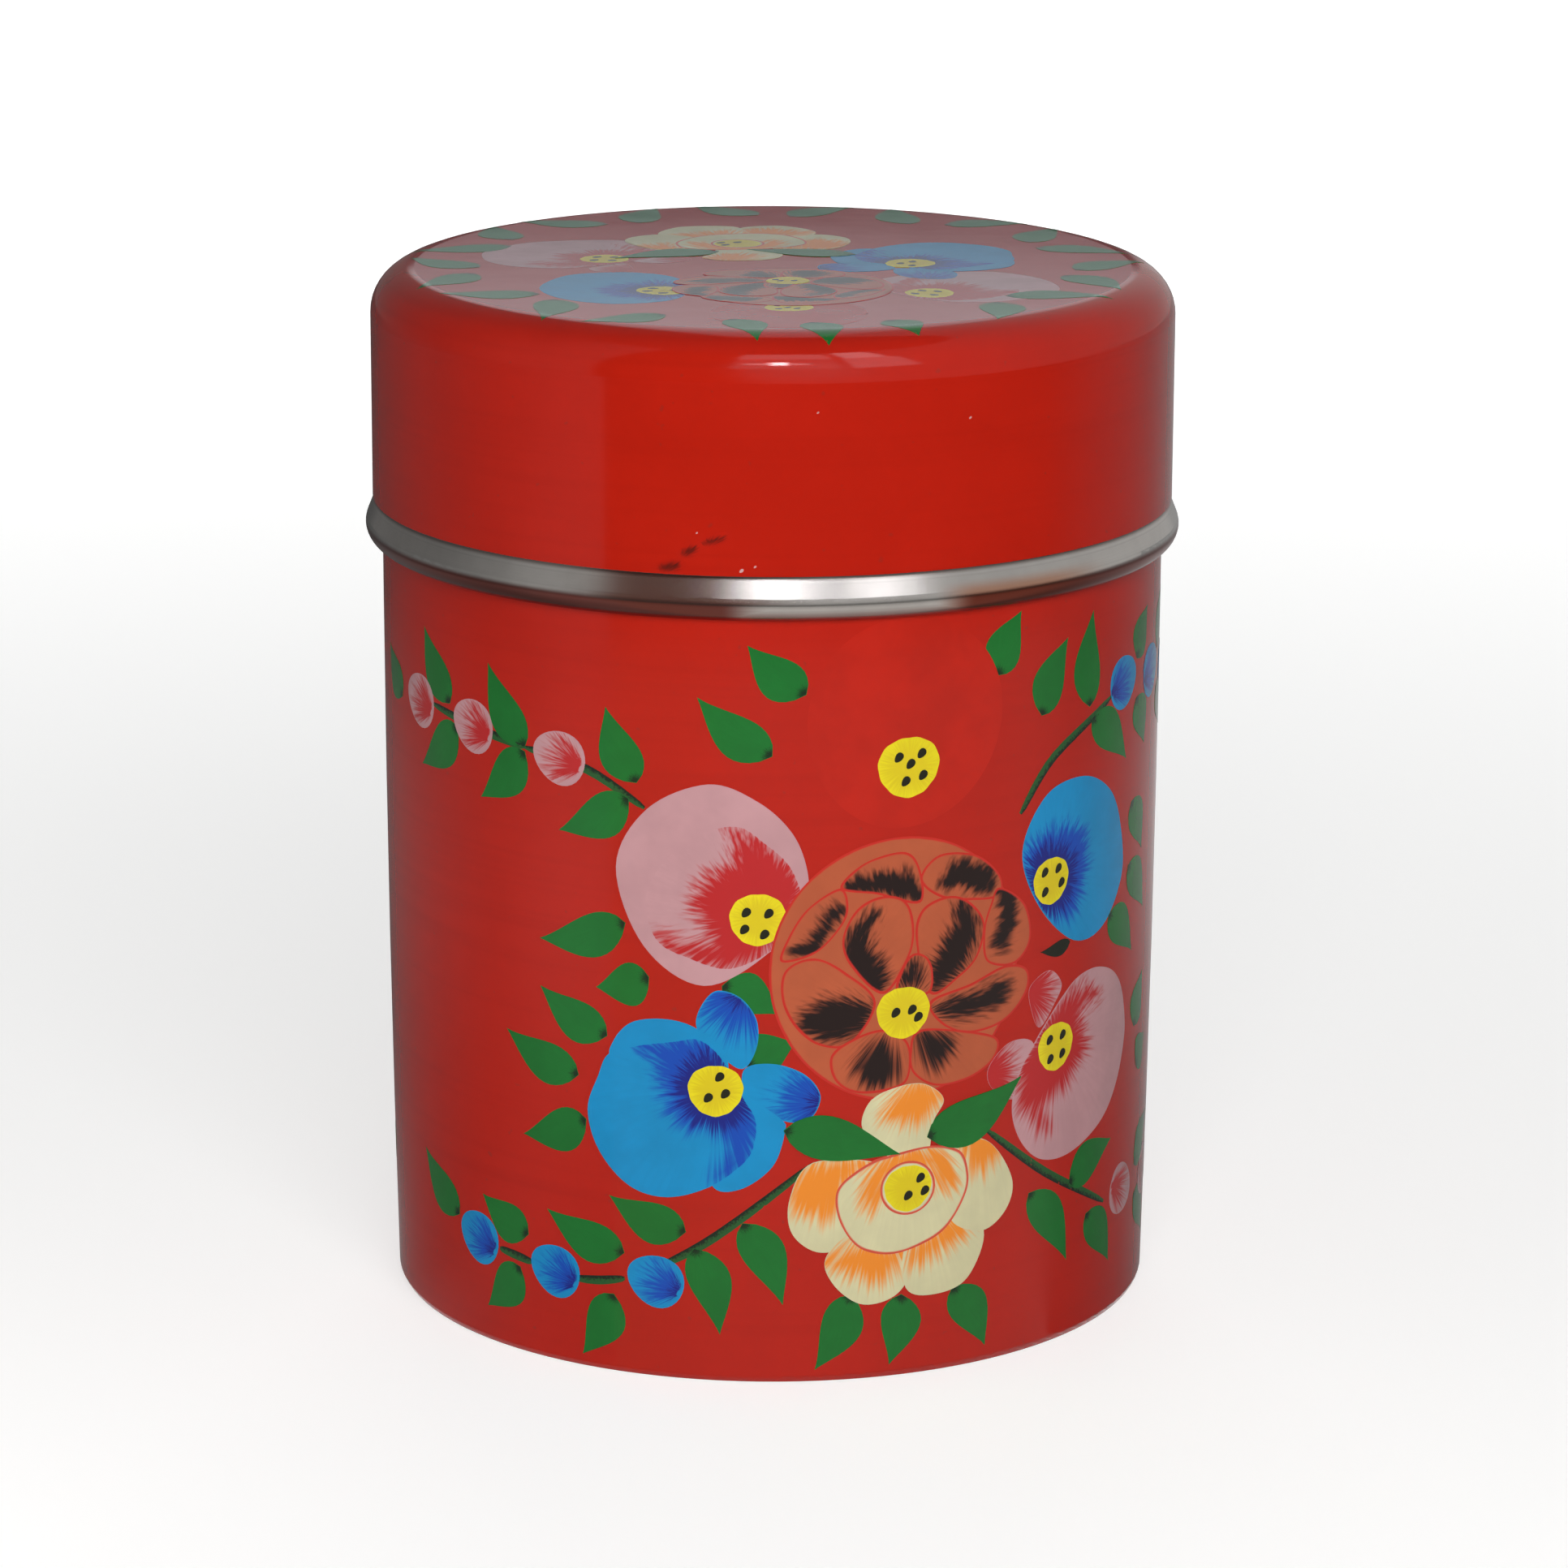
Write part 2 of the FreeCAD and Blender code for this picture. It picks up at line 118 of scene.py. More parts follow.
class Shader:
    """The nodes of one material, with a short call for each kind of node used here."""

    def __init__(self, name):
        self.material = bpy.data.materials.new(name)
        self.material.use_nodes = True
        self.tree = self.material.node_tree
        self.surface = self.tree.nodes["Principled BSDF"]

    def node(self, kind, **settings):
        made = self.tree.nodes.new(kind)
        for name, value in settings.items():
            setattr(made, name, value)
        return made

    def put(self, socket, value):
        """Links an output, or sets a plain value."""
        if isinstance(value, bpy.types.NodeSocket):
            self.tree.links.new(value, socket)
        else:
            socket.default_value = value

    def fill(self, made, entries):
        """Puts entries into the inputs of a node, by name or number, and gives its first output."""
        for key, entry in entries.items():
            self.put(made.inputs[key], entry)
        return made.outputs[0]

    def math(self, operation, *values):
        return self.fill(self.node("ShaderNodeMath", operation=operation), dict(enumerate(values)))

    def times(self, first, second):
        return self.math("MULTIPLY", first, second)

    def vector(self, operation, first, second=None):
        made = self.node("ShaderNodeVectorMath", operation=operation)
        self.put(made.inputs[0], first)
        if second is not None:
            self.put(made.inputs["Scale"] if operation == "SCALE" else made.inputs[1], second)
        return made.outputs["Value" if operation == "LENGTH" else "Vector"]

    def span(self, value, low, high, to_low=0.0, to_high=1.0):
        """A smooth step from one level to another."""
        made = self.node("ShaderNodeMapRange", interpolation_type="SMOOTHSTEP")
        return self.fill(made, {"Value": value, "From Min": low, "From Max": high,
                                "To Min": to_low, "To Max": to_high})

    def noise(self, vector, scale, detail=2.0, roughness=0.5):
        made = self.node("ShaderNodeTexNoise")
        return self.fill(made, {"Vector": vector, "Scale": scale, "Detail": detail, "Roughness": roughness})

    def mix(self, share, first, second):
        made = self.node("ShaderNodeMix", data_type="RGBA")
        colours = [socket for socket in made.inputs if socket.type == "RGBA"]
        self.put(made.inputs[0], share)
        self.put(colours[0], first)
        self.put(colours[1], second)
        return next(socket for socket in made.outputs if socket.type == "RGBA")

    def attribute(self, name):
        return self.node("ShaderNodeAttribute", attribute_name=name).outputs["Vector"]

    def parts(self, vector):
        made = self.node("ShaderNodeSeparateXYZ")
        self.put(made.inputs[0], vector)
        return made.outputs

    def join(self, *values):
        return self.fill(self.node("ShaderNodeCombineXYZ"), dict(enumerate(values)))

    def place(self):
        """Where a point lies on its own piece, in metres."""
        return self.node("ShaderNodeTexCoord").outputs["Object"]

    def bearing(self, x, y):
        """The bearing of a place, in radians."""
        return self.math("ARCTAN2", x, self.times(y, -1.0))

    def relief(self, height, strength, depth):
        """The direction of a surface with a fine relief, whose depth is in millimetres."""
        made = self.node("ShaderNodeBump")
        return self.fill(made, {"Height": height, "Strength": strength, "Distance": depth * MM})

    def finish(self, **levels):
        """Sets what the surface is like, and gives the material."""
        names = {"colour": "Base Color", "normal": "Normal", "rough": "Roughness", "metal": "Metallic",
                 "mirror": "Specular IOR Level"}
        for name, value in levels.items():
            self.put(self.surface.inputs[names[name]], value)
        return self.material

    def show(self, output):
        """Makes an output the whole surface."""
        self.put(self.tree.nodes["Material Output"].inputs["Surface"], output)
        return self.material

    def glow(self, colour, strength):
        light = self.node("ShaderNodeEmission")
        return self.show(self.fill(light, {"Color": colour, "Strength": strength}))


def shade(colour, factor):
    """A lighter or darker tone of a colour."""
    return tuple(channel * factor for channel in colour[:3]) + (1.0,)


def enamel_paint():
    """Glossy red enamel: a little uneven in tone, with the faint waves of a sprayed coat."""
    shader = Shader("red_enamel")
    place = shader.place()
    x, y, z = shader.parts(place)
    cloud = shader.noise(place, scale=45.0, detail=4.0, roughness=0.6)
    speck = shader.noise(place, scale=900.0, detail=1.0)
    waves = shader.noise(place, scale=160.0)
    along, across = 12.0, 700.0     # fineness of the streaks, which run round the caddy
    drawn = shader.join(shader.times(x, along), shader.times(y, along), shader.times(z, across))
    streak = shader.noise(drawn, scale=1.0)
    tone = shader.mix(shader.span(cloud, 0.3, 0.7), shade(RED, 0.95), shade(RED, 1.04))
    tone = shader.mix(shader.span(streak, 0.45, 0.8, 0.0, 0.5), tone, shade(RED, 0.9))
    tone = shader.mix(shader.span(speck, 0.74, 0.80), tone, srgb(170, 38, 26))
    return shader.finish(colour=tone, rough=shader.span(cloud, 0.25, 0.75, 0.07, 0.11), mirror=PAINT_MIRROR,
                         normal=shader.relief(waves, strength=0.25, depth=0.02))


def bead_painted_light(shader, tone, x, y, z, radius):
    """The steel's tone with painted light on the bead: a brown painted reflection, painted shade and
    reflection along the lip, and a painted shadow along the coat's edge.
    """
    bearing = shader.bearing(x, y)

    def over(height, first, last, low, high):
        """A step from low to high between two distances over a height."""
        return shader.span(z, (height + first) * MM, (height + last) * MM, low, high)

    left = shader.span(bearing, -0.12, 0.0, 1.0, 0.0)
    right = shader.span(bearing, 0.38, 0.50)
    # Painted reflection: a light brown tint low on the bead at the right, where it mirrors brown
    # surroundings.
    patch = shader.times(right, shader.span(bearing, 0.70, 0.95, 1.0, 0.0))
    patch = shader.times(patch, over(LID_LIP, 2.66, 4.26, 0.8, 0.0))
    # Painted shade and painted reflection of the red can: the lip and the underside of the bead darkened
    # red-brown.
    lip = shader.times(shader.math("MAXIMUM", left, right), over(LID_LIP, 2.06, 2.76, 0.92, 0.0))
    lip = shader.math("MAXIMUM", lip, over(LID_LIP, 0.76, 1.76, 0.6, 0.0))
    # Painted shadow: a dark line along the top of the bead, where the lid's coat ends.
    edge = shader.times(over(LID_FOOT, -0.67, -0.17, 0.0, 0.7), over(LID_FOOT, 0.23, 0.53, 1.0, 0.0))
    outside = shader.span(radius, (CAN_RADIUS - 0.1) * MM, (CAN_RADIUS + 0.2) * MM)
    # Mixes the painted shadow, shade and reflections into the steel's tone.
    for painted_light, brown in ((patch, srgb(196, 140, 108)), (lip, srgb(108, 40, 28)), (edge, srgb(84, 56, 46))):
        tone = shader.mix(shader.times(painted_light, outside), tone, brown)
    return tone


def turned_normal(shader, x, y):
    """The direction of a turned surface, which has no part round the axis."""
    normal = shader.node("ShaderNodeNewGeometry").outputs["Normal"]
    round_axis = shader.join(shader.times(y, -1.0), x, 0.0)
    sideways = shader.vector("PROJECT", normal, round_axis)
    return shader.vector("NORMALIZE", shader.vector("SUBTRACT", normal, sideways))


def bare_steel():
    """Polished sheet steel with fine turning lines, and painted shade, shadow and reflections in brown on
    the lid's bead.
    """
    shader = Shader("bare_steel")
    place = shader.place()
    x, y, z = shader.parts(place)
    radius = shader.vector("LENGTH", shader.join(x, y, 0.0))
    fineness = 3000.0
    turned = shader.join(shader.times(radius, fineness), shader.times(z, fineness), 0.0)
    lines = shader.noise(turned, scale=1.0)
    cloud = shader.noise(place, scale=60.0, detail=4.0, roughness=0.65)
    steel = srgb(206, 204, 200)
    tone = shader.mix(shader.span(cloud, 0.35, 0.7), steel, shade(steel, 0.85))
    tone = shader.mix(shader.span(lines, 0.4, 0.7, 0.0, 0.5), tone, shade(steel, 0.8))
    tone = bead_painted_light(shader, tone, x, y, z, radius)
    return shader.finish(colour=tone, rough=shader.math("MULTIPLY_ADD", cloud, 0.12, 0.17), metal=1.0,
                         normal=turned_normal(shader, x, y))


def stroke_mark(shader, hair, fan, inset, ragged):
    """Where strokes cover the ground: out to their ragged ends, and not along the film's edge."""
    mean_reach = 0.7
    reach = shader.math("MULTIPLY_ADD", hair, ragged, mean_reach - ragged / 2)
    covered = shader.span(shader.math("SUBTRACT", reach, fan), -0.4, 0.25)
    return shader.times(covered, shader.span(shader.math("MULTIPLY_ADD", hair, 0.5, inset), 0.35, 1.15))


def brushed_paint(name, base, stroke=None, deep=None, rim=None, ragged=0.45):
    """Paint laid with a brush: an even ground, and strokes that end in fine hairs.

    stroke colours the strokes, deep their roots and rim a line along the edge of the film. The hairs of
    a ragged stroke end far apart.
    """
    shader = Shader(name)
    place = shader.place()
    fan, inset, edge = shader.parts(shader.attribute("stroke"))
    lines = shader.attribute("hair")
    drift = shader.vector("SCALE", place, 60.0)
    hair = shader.noise(shader.vector("ADD", lines, drift), scale=3.2, roughness=0.6)
    hair = shader.span(hair, 0.3, 0.7)
    cloud = shader.noise(place, scale=130.0, detail=3.0, roughness=0.6)
    tone = shader.mix(shader.span(cloud, 0.3, 0.7), shade(base, 0.92), shade(base, 1.05))
    if stroke:
        tone = shader.mix(shader.times(hair, 0.25), tone, shade(base, 0.86))
        mark = stroke_mark(shader, hair, fan, inset, ragged)
        tone = shader.mix(mark, tone, stroke)
        if deep:
            passed = shader.math("DIVIDE", shader.parts(lines)[2], ROOT_SHARE)
            root = shader.math("SUBTRACT", shader.math("MULTIPLY_ADD", hair, 2.2, 0.6), passed)
            tone = shader.mix(shader.times(shader.span(root, -0.6, 0.8), mark), tone, deep)
    if rim:
        width = shader.math("MULTIPLY_ADD", cloud, 0.4, 0.1)
        tone = shader.mix(shader.span(shader.math("SUBTRACT", width, edge), -0.1, 0.12), tone, rim)
    return shader.finish(colour=tone, rough=shader.span(cloud, 0.25, 0.75, 0.09, 0.14), mirror=PAINT_MIRROR,
                         normal=shader.relief(hair, strength=0.1, depth=0.01))


def paints():
    """The paints of the sprays and the marks of wear, by name."""
    black = srgb(34, 20, 18)
    cream = srgb(224, 217, 172)
    orange = srgb(248, 146, 46)
    navy = srgb(26, 38, 132)
    mixed = (
        brushed_paint("leaf_green", srgb(27, 115, 45), stroke=srgb(20, 46, 26), ragged=0.5),
        brushed_paint("stem_green", srgb(42, 92, 46), stroke=srgb(26, 40, 28), ragged=0.5),
        brushed_paint("petal_pink", srgb(204, 154, 158), stroke=srgb(192, 40, 42)),
        brushed_paint("petal_blue", srgb(22, 146, 204), stroke=srgb(20, 78, 184), deep=navy),
        brushed_paint("petal_orange", srgb(192, 94, 60), stroke=black, rim=srgb(204, 46, 36), ragged=0.4),
        brushed_paint("petal_cream", cream, stroke=orange, deep=srgb(244, 122, 34)),
        brushed_paint("petal_cream_ringed", cream, stroke=orange, rim=srgb(220, 84, 64)),
        brushed_paint("petal_red", srgb(192, 33, 17)),
        brushed_paint("heart_yellow", srgb(240, 222, 30), stroke=srgb(228, 204, 30)),
        brushed_paint("seed_black", srgb(30, 32, 18)),
        brushed_paint("rub_brown", RED, stroke=srgb(96, 26, 18)),
        brushed_paint("bare_scuff", srgb(206, 160, 156)),
    )
    return {paint.name: paint for paint in mixed}


@dataclass
class RoundSide:
    """A painted side of the caddy: x along the wall from a bearing, y up from a height."""

    body: str
    radius: float
    bearing: float
    height: float
    foot_draw: float = 0.0
    film_step = 0.006   # height of one film over the film under it

    def place(self, flat, lift):
        """Points at a lift off the wall, and the wall's outward directions there."""
        angle = math.radians(self.bearing) + flat[:, 0] / self.radius
        height = self.height + flat[:, 1]
        below = np.maximum(0.0, TAPER_START - height) / TAPER_START
        radius = self.radius - self.foot_draw * below ** 2
        slope = 2 * self.foot_draw * below / TAPER_START
        outward = np.stack([np.sin(angle), -np.cos(angle), -slope], axis=1)
        outward /= np.linalg.norm(outward, axis=1)[:, None]
        wall = np.stack([radius * np.sin(angle), -radius * np.cos(angle), height], axis=1)
        return wall + lift * outward, outward


class LidTop:
    """The lid's painted top, bent down over its shoulder: x to the right and y away from the camera."""

    body = "lid"
    film_step = 0.003

    def place(self, flat, lift):
        """Points at a lift off the lid, and the lid's outward directions there."""
        reach = np.linalg.norm(flat, axis=1)
        way = flat / np.maximum(reach, TINY)[:, None]
        bend = np.maximum(0.0, reach - LID_FLAT) / LID_SHOULDER
        radius = np.minimum(reach, LID_FLAT) + LID_SHOULDER * np.sin(bend)
        height = LID_TOP - LID_SHOULDER * (1 - np.cos(bend))
        outward = np.column_stack([way * np.sin(bend)[:, None], np.cos(bend)])
        lid = np.column_stack([way * radius[:, None], height])
        return lid + lift * outward, outward


class Spot:
    """A place on a surface with axes of its own, for a motif drawn in its own millimetres."""

    def __init__(self, surface, turn=0.0, scale=1.0, layer=LEAVES):
        self.surface = surface
        self.origin = np.zeros(2)
        self.layer = layer      # how many films lie under the next one
        angle = math.radians(turn)
        self.axes = scale * np.array([[math.cos(angle), -math.sin(angle)],
                                      [math.sin(angle), math.cos(angle)]])

    def at(self, x, y, turn=0.0, scale=1.0, layer=None):
        """A spot at a place of this one's, turned and scaled with it."""
        inner = Spot(self.surface, turn, scale, self.layer if layer is None else layer)
        inner.origin = self.origin + self.axes @ np.array([x, y], float)
        inner.axes = self.axes @ inner.axes
        return inner

    def place(self, points, lift):
        return self.surface.place(self.origin + points @ self.axes.T, lift)


class Films:
    """All the films of one paint on one body, gathered for one mesh."""

    def __init__(self):
        self.faces, self.columns = [], []
        self.count = 0

    def add(self, faces, *columns):
        """Adds a film by its faces, and its points' places, directions, hairs and strokes."""
        self.faces += [tuple(self.count + corner for corner in face) for face in faces]
        self.columns.append(columns)
        self.count += len(columns[0])

    def piece(self, name, material):
        """The films as one piece, with the surface's own directions for smooth gloss."""
        points, directions, hair, stroke = (np.concatenate(column) for column in zip(*self.columns))
        mesh = bpy.data.meshes.new(name)
        mesh.from_pydata((points * MM).tolist(), [], self.faces)
        for label, values in (("hair", hair), ("stroke", stroke)):
            layer = mesh.attributes.new(label, "FLOAT_VECTOR", "POINT")
            layer.data.foreach_set("vector", values.astype(np.float32).ravel())
        mesh.polygons.foreach_set("use_smooth", [True] * len(mesh.polygons))
        mesh.normals_split_custom_set_from_vertices(directions.tolist())
        mesh.materials.append(material)
        return placed(name, mesh)


films = {}


def rim_distance(points, outline):
    """How far each point lies from a closed outline."""
    along = np.roll(outline, -1, axis=0) - outline
    offset = points[:, None] - outline[None]
    share = np.clip((offset * along).sum(2) / np.maximum((along ** 2).sum(1), TINY), 0.0, 1.0)
    return np.linalg.norm(offset - share[..., None] * along, axis=2).min(1)


def inside(points, outline):
    """Which points a closed outline winds round."""
    first = outline[None] - points[:, None]
    last = np.roll(first, -1, axis=1)
    cross = first[..., 0] * last[..., 1] - first[..., 1] * last[..., 0]
    return np.abs(np.arctan2(cross, (first * last).sum(2)).sum(1)) > math.pi


def lay(spot, paint, points, faces, rim, hair, stroke):
    """Closes a flat patch, whose outline is the points numbered in rim, into a thin film on its surface."""
    count = len(points)
    top, out = spot.place(points, spot.layer * spot.surface.film_step)
    under, _ = spot.place(points, -FILM_SINK)
    shell = faces + [tuple(count + corner for corner in reversed(face)) for face in faces]
    shell += [(first, count + first, count + last, last) for first, last in zip(rim, rim[1:] + rim[:1])]
    store = films.setdefault((spot.surface.body, paint), Films())
    columns = ((top, under), (out, out), (hair, hair), (stroke, stroke))
    store.add(shell, *(np.concatenate(column) for column in columns))


def hairs(points, source, start):
    """How far points lie from a stroke's source, and the hairs that run out from it."""
    offset = points - np.array(source, float)
    far = np.linalg.norm(offset, axis=1)
    way = offset / np.maximum(far, NEAR_SOURCE)[:, None]
    return far, np.column_stack([HAIR_RADIUS * way, ROOT_SHARE * (far - start)])


def spread(source, start, reach, between=None):
    """A stroke whose hairs spread from a point, from start over reach, between two angles in degrees."""
    falloff = 2.0       # how fast the hairs get shorter beyond those angles

    def measure(points):
        far, lines = hairs(points, source, start)
        fan = (far - start) / reach
        if between:
            first, last = (math.radians(angle) for angle in between)
            turn = np.arctan2(lines[:, 1], lines[:, 0]) - (first + last) / 2
            turn = np.abs((turn + math.pi) % (2 * math.pi) - math.pi)
            fan = fan + falloff * np.maximum(0.0, turn - (last - first) / 2)
        return fan, lines
    return measure


def blot(source, outline, soft=2.2, start=0.0):
    """A stroke that fills an outline, and frays there into hairs that run out from a source."""
    edge = loop(outline, steps=4)
    at_edge = 0.65      # how far along a stroke the outline lies

    def measure(points):
        gap = rim_distance(points, edge) * np.where(inside(points, edge), -1.0, 1.0)
        return at_edge + gap / (2 * soft), hairs(points, source, start)[1]
    return measure


def dab(spot, paint, outline, *strokes, margin=0.5):
    """A film inside a closed outline, with strokes that stay about a margin in from its edge."""
    outline = np.asarray(outline, float)
    following = np.roll(outline, -1, axis=0)
    if (outline[:, 0] * following[:, 1] - outline[:, 1] * following[:, 0]).sum() < 0:
        outline = outline[::-1]
    count = len(outline)
    middle = outline.mean(0)
    rings = max(2, math.ceil(np.linalg.norm(outline - middle, axis=1).max() / RING_STEP))
    shares = np.arange(1, rings + 1) / rings
    points = np.concatenate([middle[None]] + [middle + share * (outline - middle) for share in shares])
    step = [(corner, (corner + 1) % count) for corner in range(count)]
    faces = [(0, 1 + first, 1 + last) for first, last in step]
    for ring in range(rings - 1):
        low, high = 1 + ring * count, 1 + (ring + 1) * count
        faces += [(low + first, high + first, high + last, low + last) for first, last in step]
    rim = [1 + (rings - 1) * count + corner for corner in range(count)]

    fan = np.full(len(points), NO_STROKE)
    hair = np.zeros((len(points), 3))
    for stroke in strokes:
        reached, lines = stroke(points)
        hair = np.where((reached < fan)[:, None], lines, hair)
        fan = np.minimum(fan, reached)
    edge = rim_distance(points, outline)
    lay(spot, paint, points, faces, rim, hair, np.column_stack([fan, edge / margin, edge]))
    spot.layer += 1


def bow(before, start, end, after, steps):
    """The smooth line from start towards end, led by the points before and after them."""
    before, start, end, after = (np.array(point, float) for point in (before, start, end, after))
    share = np.linspace(0.0, 1.0, steps, endpoint=False)[:, None]
    return 0.5 * (2 * start + (end - before) * share
                  + (2 * before - 5 * start + 4 * end - after) * share ** 2
                  + (3 * start - before - 3 * end + after) * share ** 3)


def loop(points, steps=8):
    """A smooth closed line through a few points."""
    count = len(points)
    return np.concatenate([bow(*(points[(index + shift) % count] for shift in (-1, 0, 1, 2)), steps)
                           for index in range(count)])


def curve(*points):
    """A smooth open line through three or more points."""
    knots = [points[0], *points, points[-1]]
    pieces = [bow(*knots[index:index + 4], steps=6) for index in range(len(points) - 1)]
    return np.concatenate(pieces + [np.array([points[-1]], float)])


def egg(length, width, taper=0.0, turn=0.0, steps=32):
    """An egg-shaped line about its middle, blunt towards turn where taper is positive."""
    angle = np.linspace(0.0, 2 * math.pi, steps, endpoint=False)
    x = length / 2 * np.cos(angle)
    y = width / 2 * np.sin(angle) * (1 + taper * np.cos(angle))
    tilt = math.radians(turn)
    return np.column_stack([x * math.cos(tilt) - y * math.sin(tilt),
                            x * math.sin(tilt) + y * math.cos(tilt)])


def leaf(spot, base, tip, width, bend=0.07, paint="leaf_green"):
    """A pointed leaf from its base to its tip, bent a little to one side."""
    rows = 15
    base, tip = np.array(base, float), np.array(tip, float)
    way = tip - base
    length = np.linalg.norm(way)
    side = np.array([-way[1], way[0]]) / length
    share = np.linspace(0.0, 1.0, rows)
    half = width / 2 * np.sin(math.pi * share ** 0.66) ** 1.15      # broadest a third of the way along
    spine = base + share[:, None] * way + side * (bend * length * np.sin(math.pi * share))[:, None]
    outline = np.concatenate([spine - side * half[:, None], (spine + side * half[:, None])[-2:0:-1]])
    dab(spot.at(0, 0), paint, outline, spread(base, start=0.0, reach=1.3), margin=0.1)


def leaves(spot, *ends, width=5.4):
    """Leaves of one width, each by the x and y of its base and of its tip."""
    for base_x, base_y, tip_x, tip_y in ends:
        leaf(spot, (base_x, base_y), (tip_x, tip_y), width)


def stem(spot, *points):
    """A stem through three or more points, drawn out thin at both ends and darker along one side."""
    width = 1.15
    end_width = 0.35            # share of the width that the ends keep
    across = (-1.0, 0.0, 1.0)
    passed = (0.25, 0.9, 1.5)   # how far a stroke from one side has come there
    off_edge = 2.0              # lets that stroke run up to the edge
    path = curve(*points)
    way = np.gradient(path, axis=0)
    way /= np.linalg.norm(way, axis=1)[:, None]
    side = np.column_stack([-way[:, 1], way[:, 0]])
    rows, columns = len(path), len(across)
    swell = np.sin(math.pi * np.linspace(0.0, 1.0, rows)) ** 0.5
    half = width / 2 * (end_width + (1 - end_width) * swell)
    grid = np.stack([path + side * (half * place)[:, None] for place in across], axis=1).reshape(-1, 2)
    faces = []
    for row in range(rows - 1):
        low, high = columns * row, columns * (row + 1)
        faces += [(low + column, high + column, high + column + 1, low + column + 1) for column in (0, 1)]
    there = [columns * row for row in range(rows)]
    back = [columns * row + 2 for row in reversed(range(rows))]
    rim = there + [columns * rows - 2] + back + [1]
    edge = np.tile([0.0, width / 2, 0.0], rows)
    hair = np.column_stack([grid, np.zeros(len(grid))])
    stroke = np.column_stack([np.tile(passed, rows), np.full(len(grid), off_edge), edge])
    lay(spot.at(0, 0, layer=STEMS), "stem_green", grid, faces, rim, hair, stroke)


def buds(spot, paint, turn, *places):
    """Closed buds whose strokes start at their stems, which point towards turn."""
    size, plump = 7.5, 0.88
    half_fan = 38       # degrees to each side of a bud's axis
    root = size / 2 * np.array([math.cos(math.radians(turn)), math.sin(math.radians(turn))])
    away = turn + 180
    stroke = spread(root, start=0.0, reach=size * 0.8, between=(away - half_fan, away + half_fan))
    for x, y in places:
        dab(spot.at(x, y, layer=FLOWERS), paint, egg(size, size * plump, 0.15, turn), stroke, margin=0.3)


def heart(spot, seeds, radius=3.3):
    """The yellow heart of a flower, with its black seeds."""
    angle = np.linspace(0.0, 2 * math.pi, 48, endpoint=False)
    uneven = 0.03 * np.sin(2 * angle + 1) + 0.03 * np.sin(3 * angle) + 0.012 * np.sin(11 * angle)
    wave = radius * (1 + uneven)
    outline = np.column_stack([wave * np.cos(angle), wave * np.sin(angle)])
    dab(spot, "heart_yellow", outline, spread((0, 0), 0.0, radius))
    for x, y in seeds:
        dab(spot.at(x, y), "seed_black", egg(1.4, 1.0, 0.25, 50, steps=14))
    spot.layer += 1


def pink_cup(spot):
    """A wide open cup with a red throat inside its lip."""
    cup = [(-6, 16.5), (0, 14.5), (4.2, 10.5), (6, 5.5), (5.4, 2), (1.5, -4), (-6.5, -8.5), (-14, -4),
           (-17.5, 5.5), (-13.5, 13)]
    lip = [(-2.9, 11.5), (1, 9.3), (3.6, 6.9), (5, 4), (5.1, 2), (3.5, -2), (0.8, -4.5), (-3.5, -6.3),
           (-8, -5.3), (-12.5, -3), (-13.5, 3), (-9, 9)]
    throat = [(-2.9, 10.7), (1.4, 8.6), (3.5, 6.6), (4.6, 4.5), (5, 2.4), (3.1, -1.4), (0.8, -4),
              (-1.2, -5.5), (-3.9, -6), (-6.6, -5.7), (-12.3, -3.1), (-6, -3.5), (-5.3, -2.8), (-5.9, -1.4),
              (-6.9, 0), (-7.4, 1.7), (-6.9, 3.4), (-5.9, 4.8), (-4.3, 5.9), (-2.6, 7.2)]
    dab(spot, "petal_pink", loop(cup))
    dab(spot, "petal_pink", loop(lip), blot((0.5, 0), throat), margin=0.1)
    heart(spot, [(-1.4, 0.8), (1.3, 0.7), (-1.6, -1.3), (0.8, -1.9)])


def blue_cup(spot):
    """A blue cup, half turned away."""
    cup = [(6, 12), (-1, 11), (-5, 4.5), (-2, -3), (4.5, -8.5), (11, -8), (15.8, -2.5), (15, 4), (12, 9)]
    throat = [(-4.2, 3.3), (-2.8, 5), (-0.2, 5.9), (2.5, 6.1), (5.3, 5), (6.6, 2.7), (6.4, -0.4),
              (5.4, -2.7), (4.2, -4.7), (1.7, -5), (-0.6, -4.1), (-2.5, -3)]
    dab(spot, "petal_blue", loop(cup), blot((0, 0), throat, soft=2.0, start=3.0), margin=0.4)
    heart(spot, [(-1.2, 1.2), (1.2, 1.3), (1.8, -0.6), (-1.1, -1.3)], radius=3.0)


def red_cup(spot):
    """A cup painted tone on tone, of which little but the heart shows."""
    dab(spot, "petal_red", egg(26, 25, 0.05, 70, steps=80))
    middle = spot.at(0.1, -5.4)
    heart(middle, [(-1.3, 1.2), (0.2, 0.3), (1.6, 1.5), (-0.4, -1.8), (1.8, -1.2)], radius=3.8)


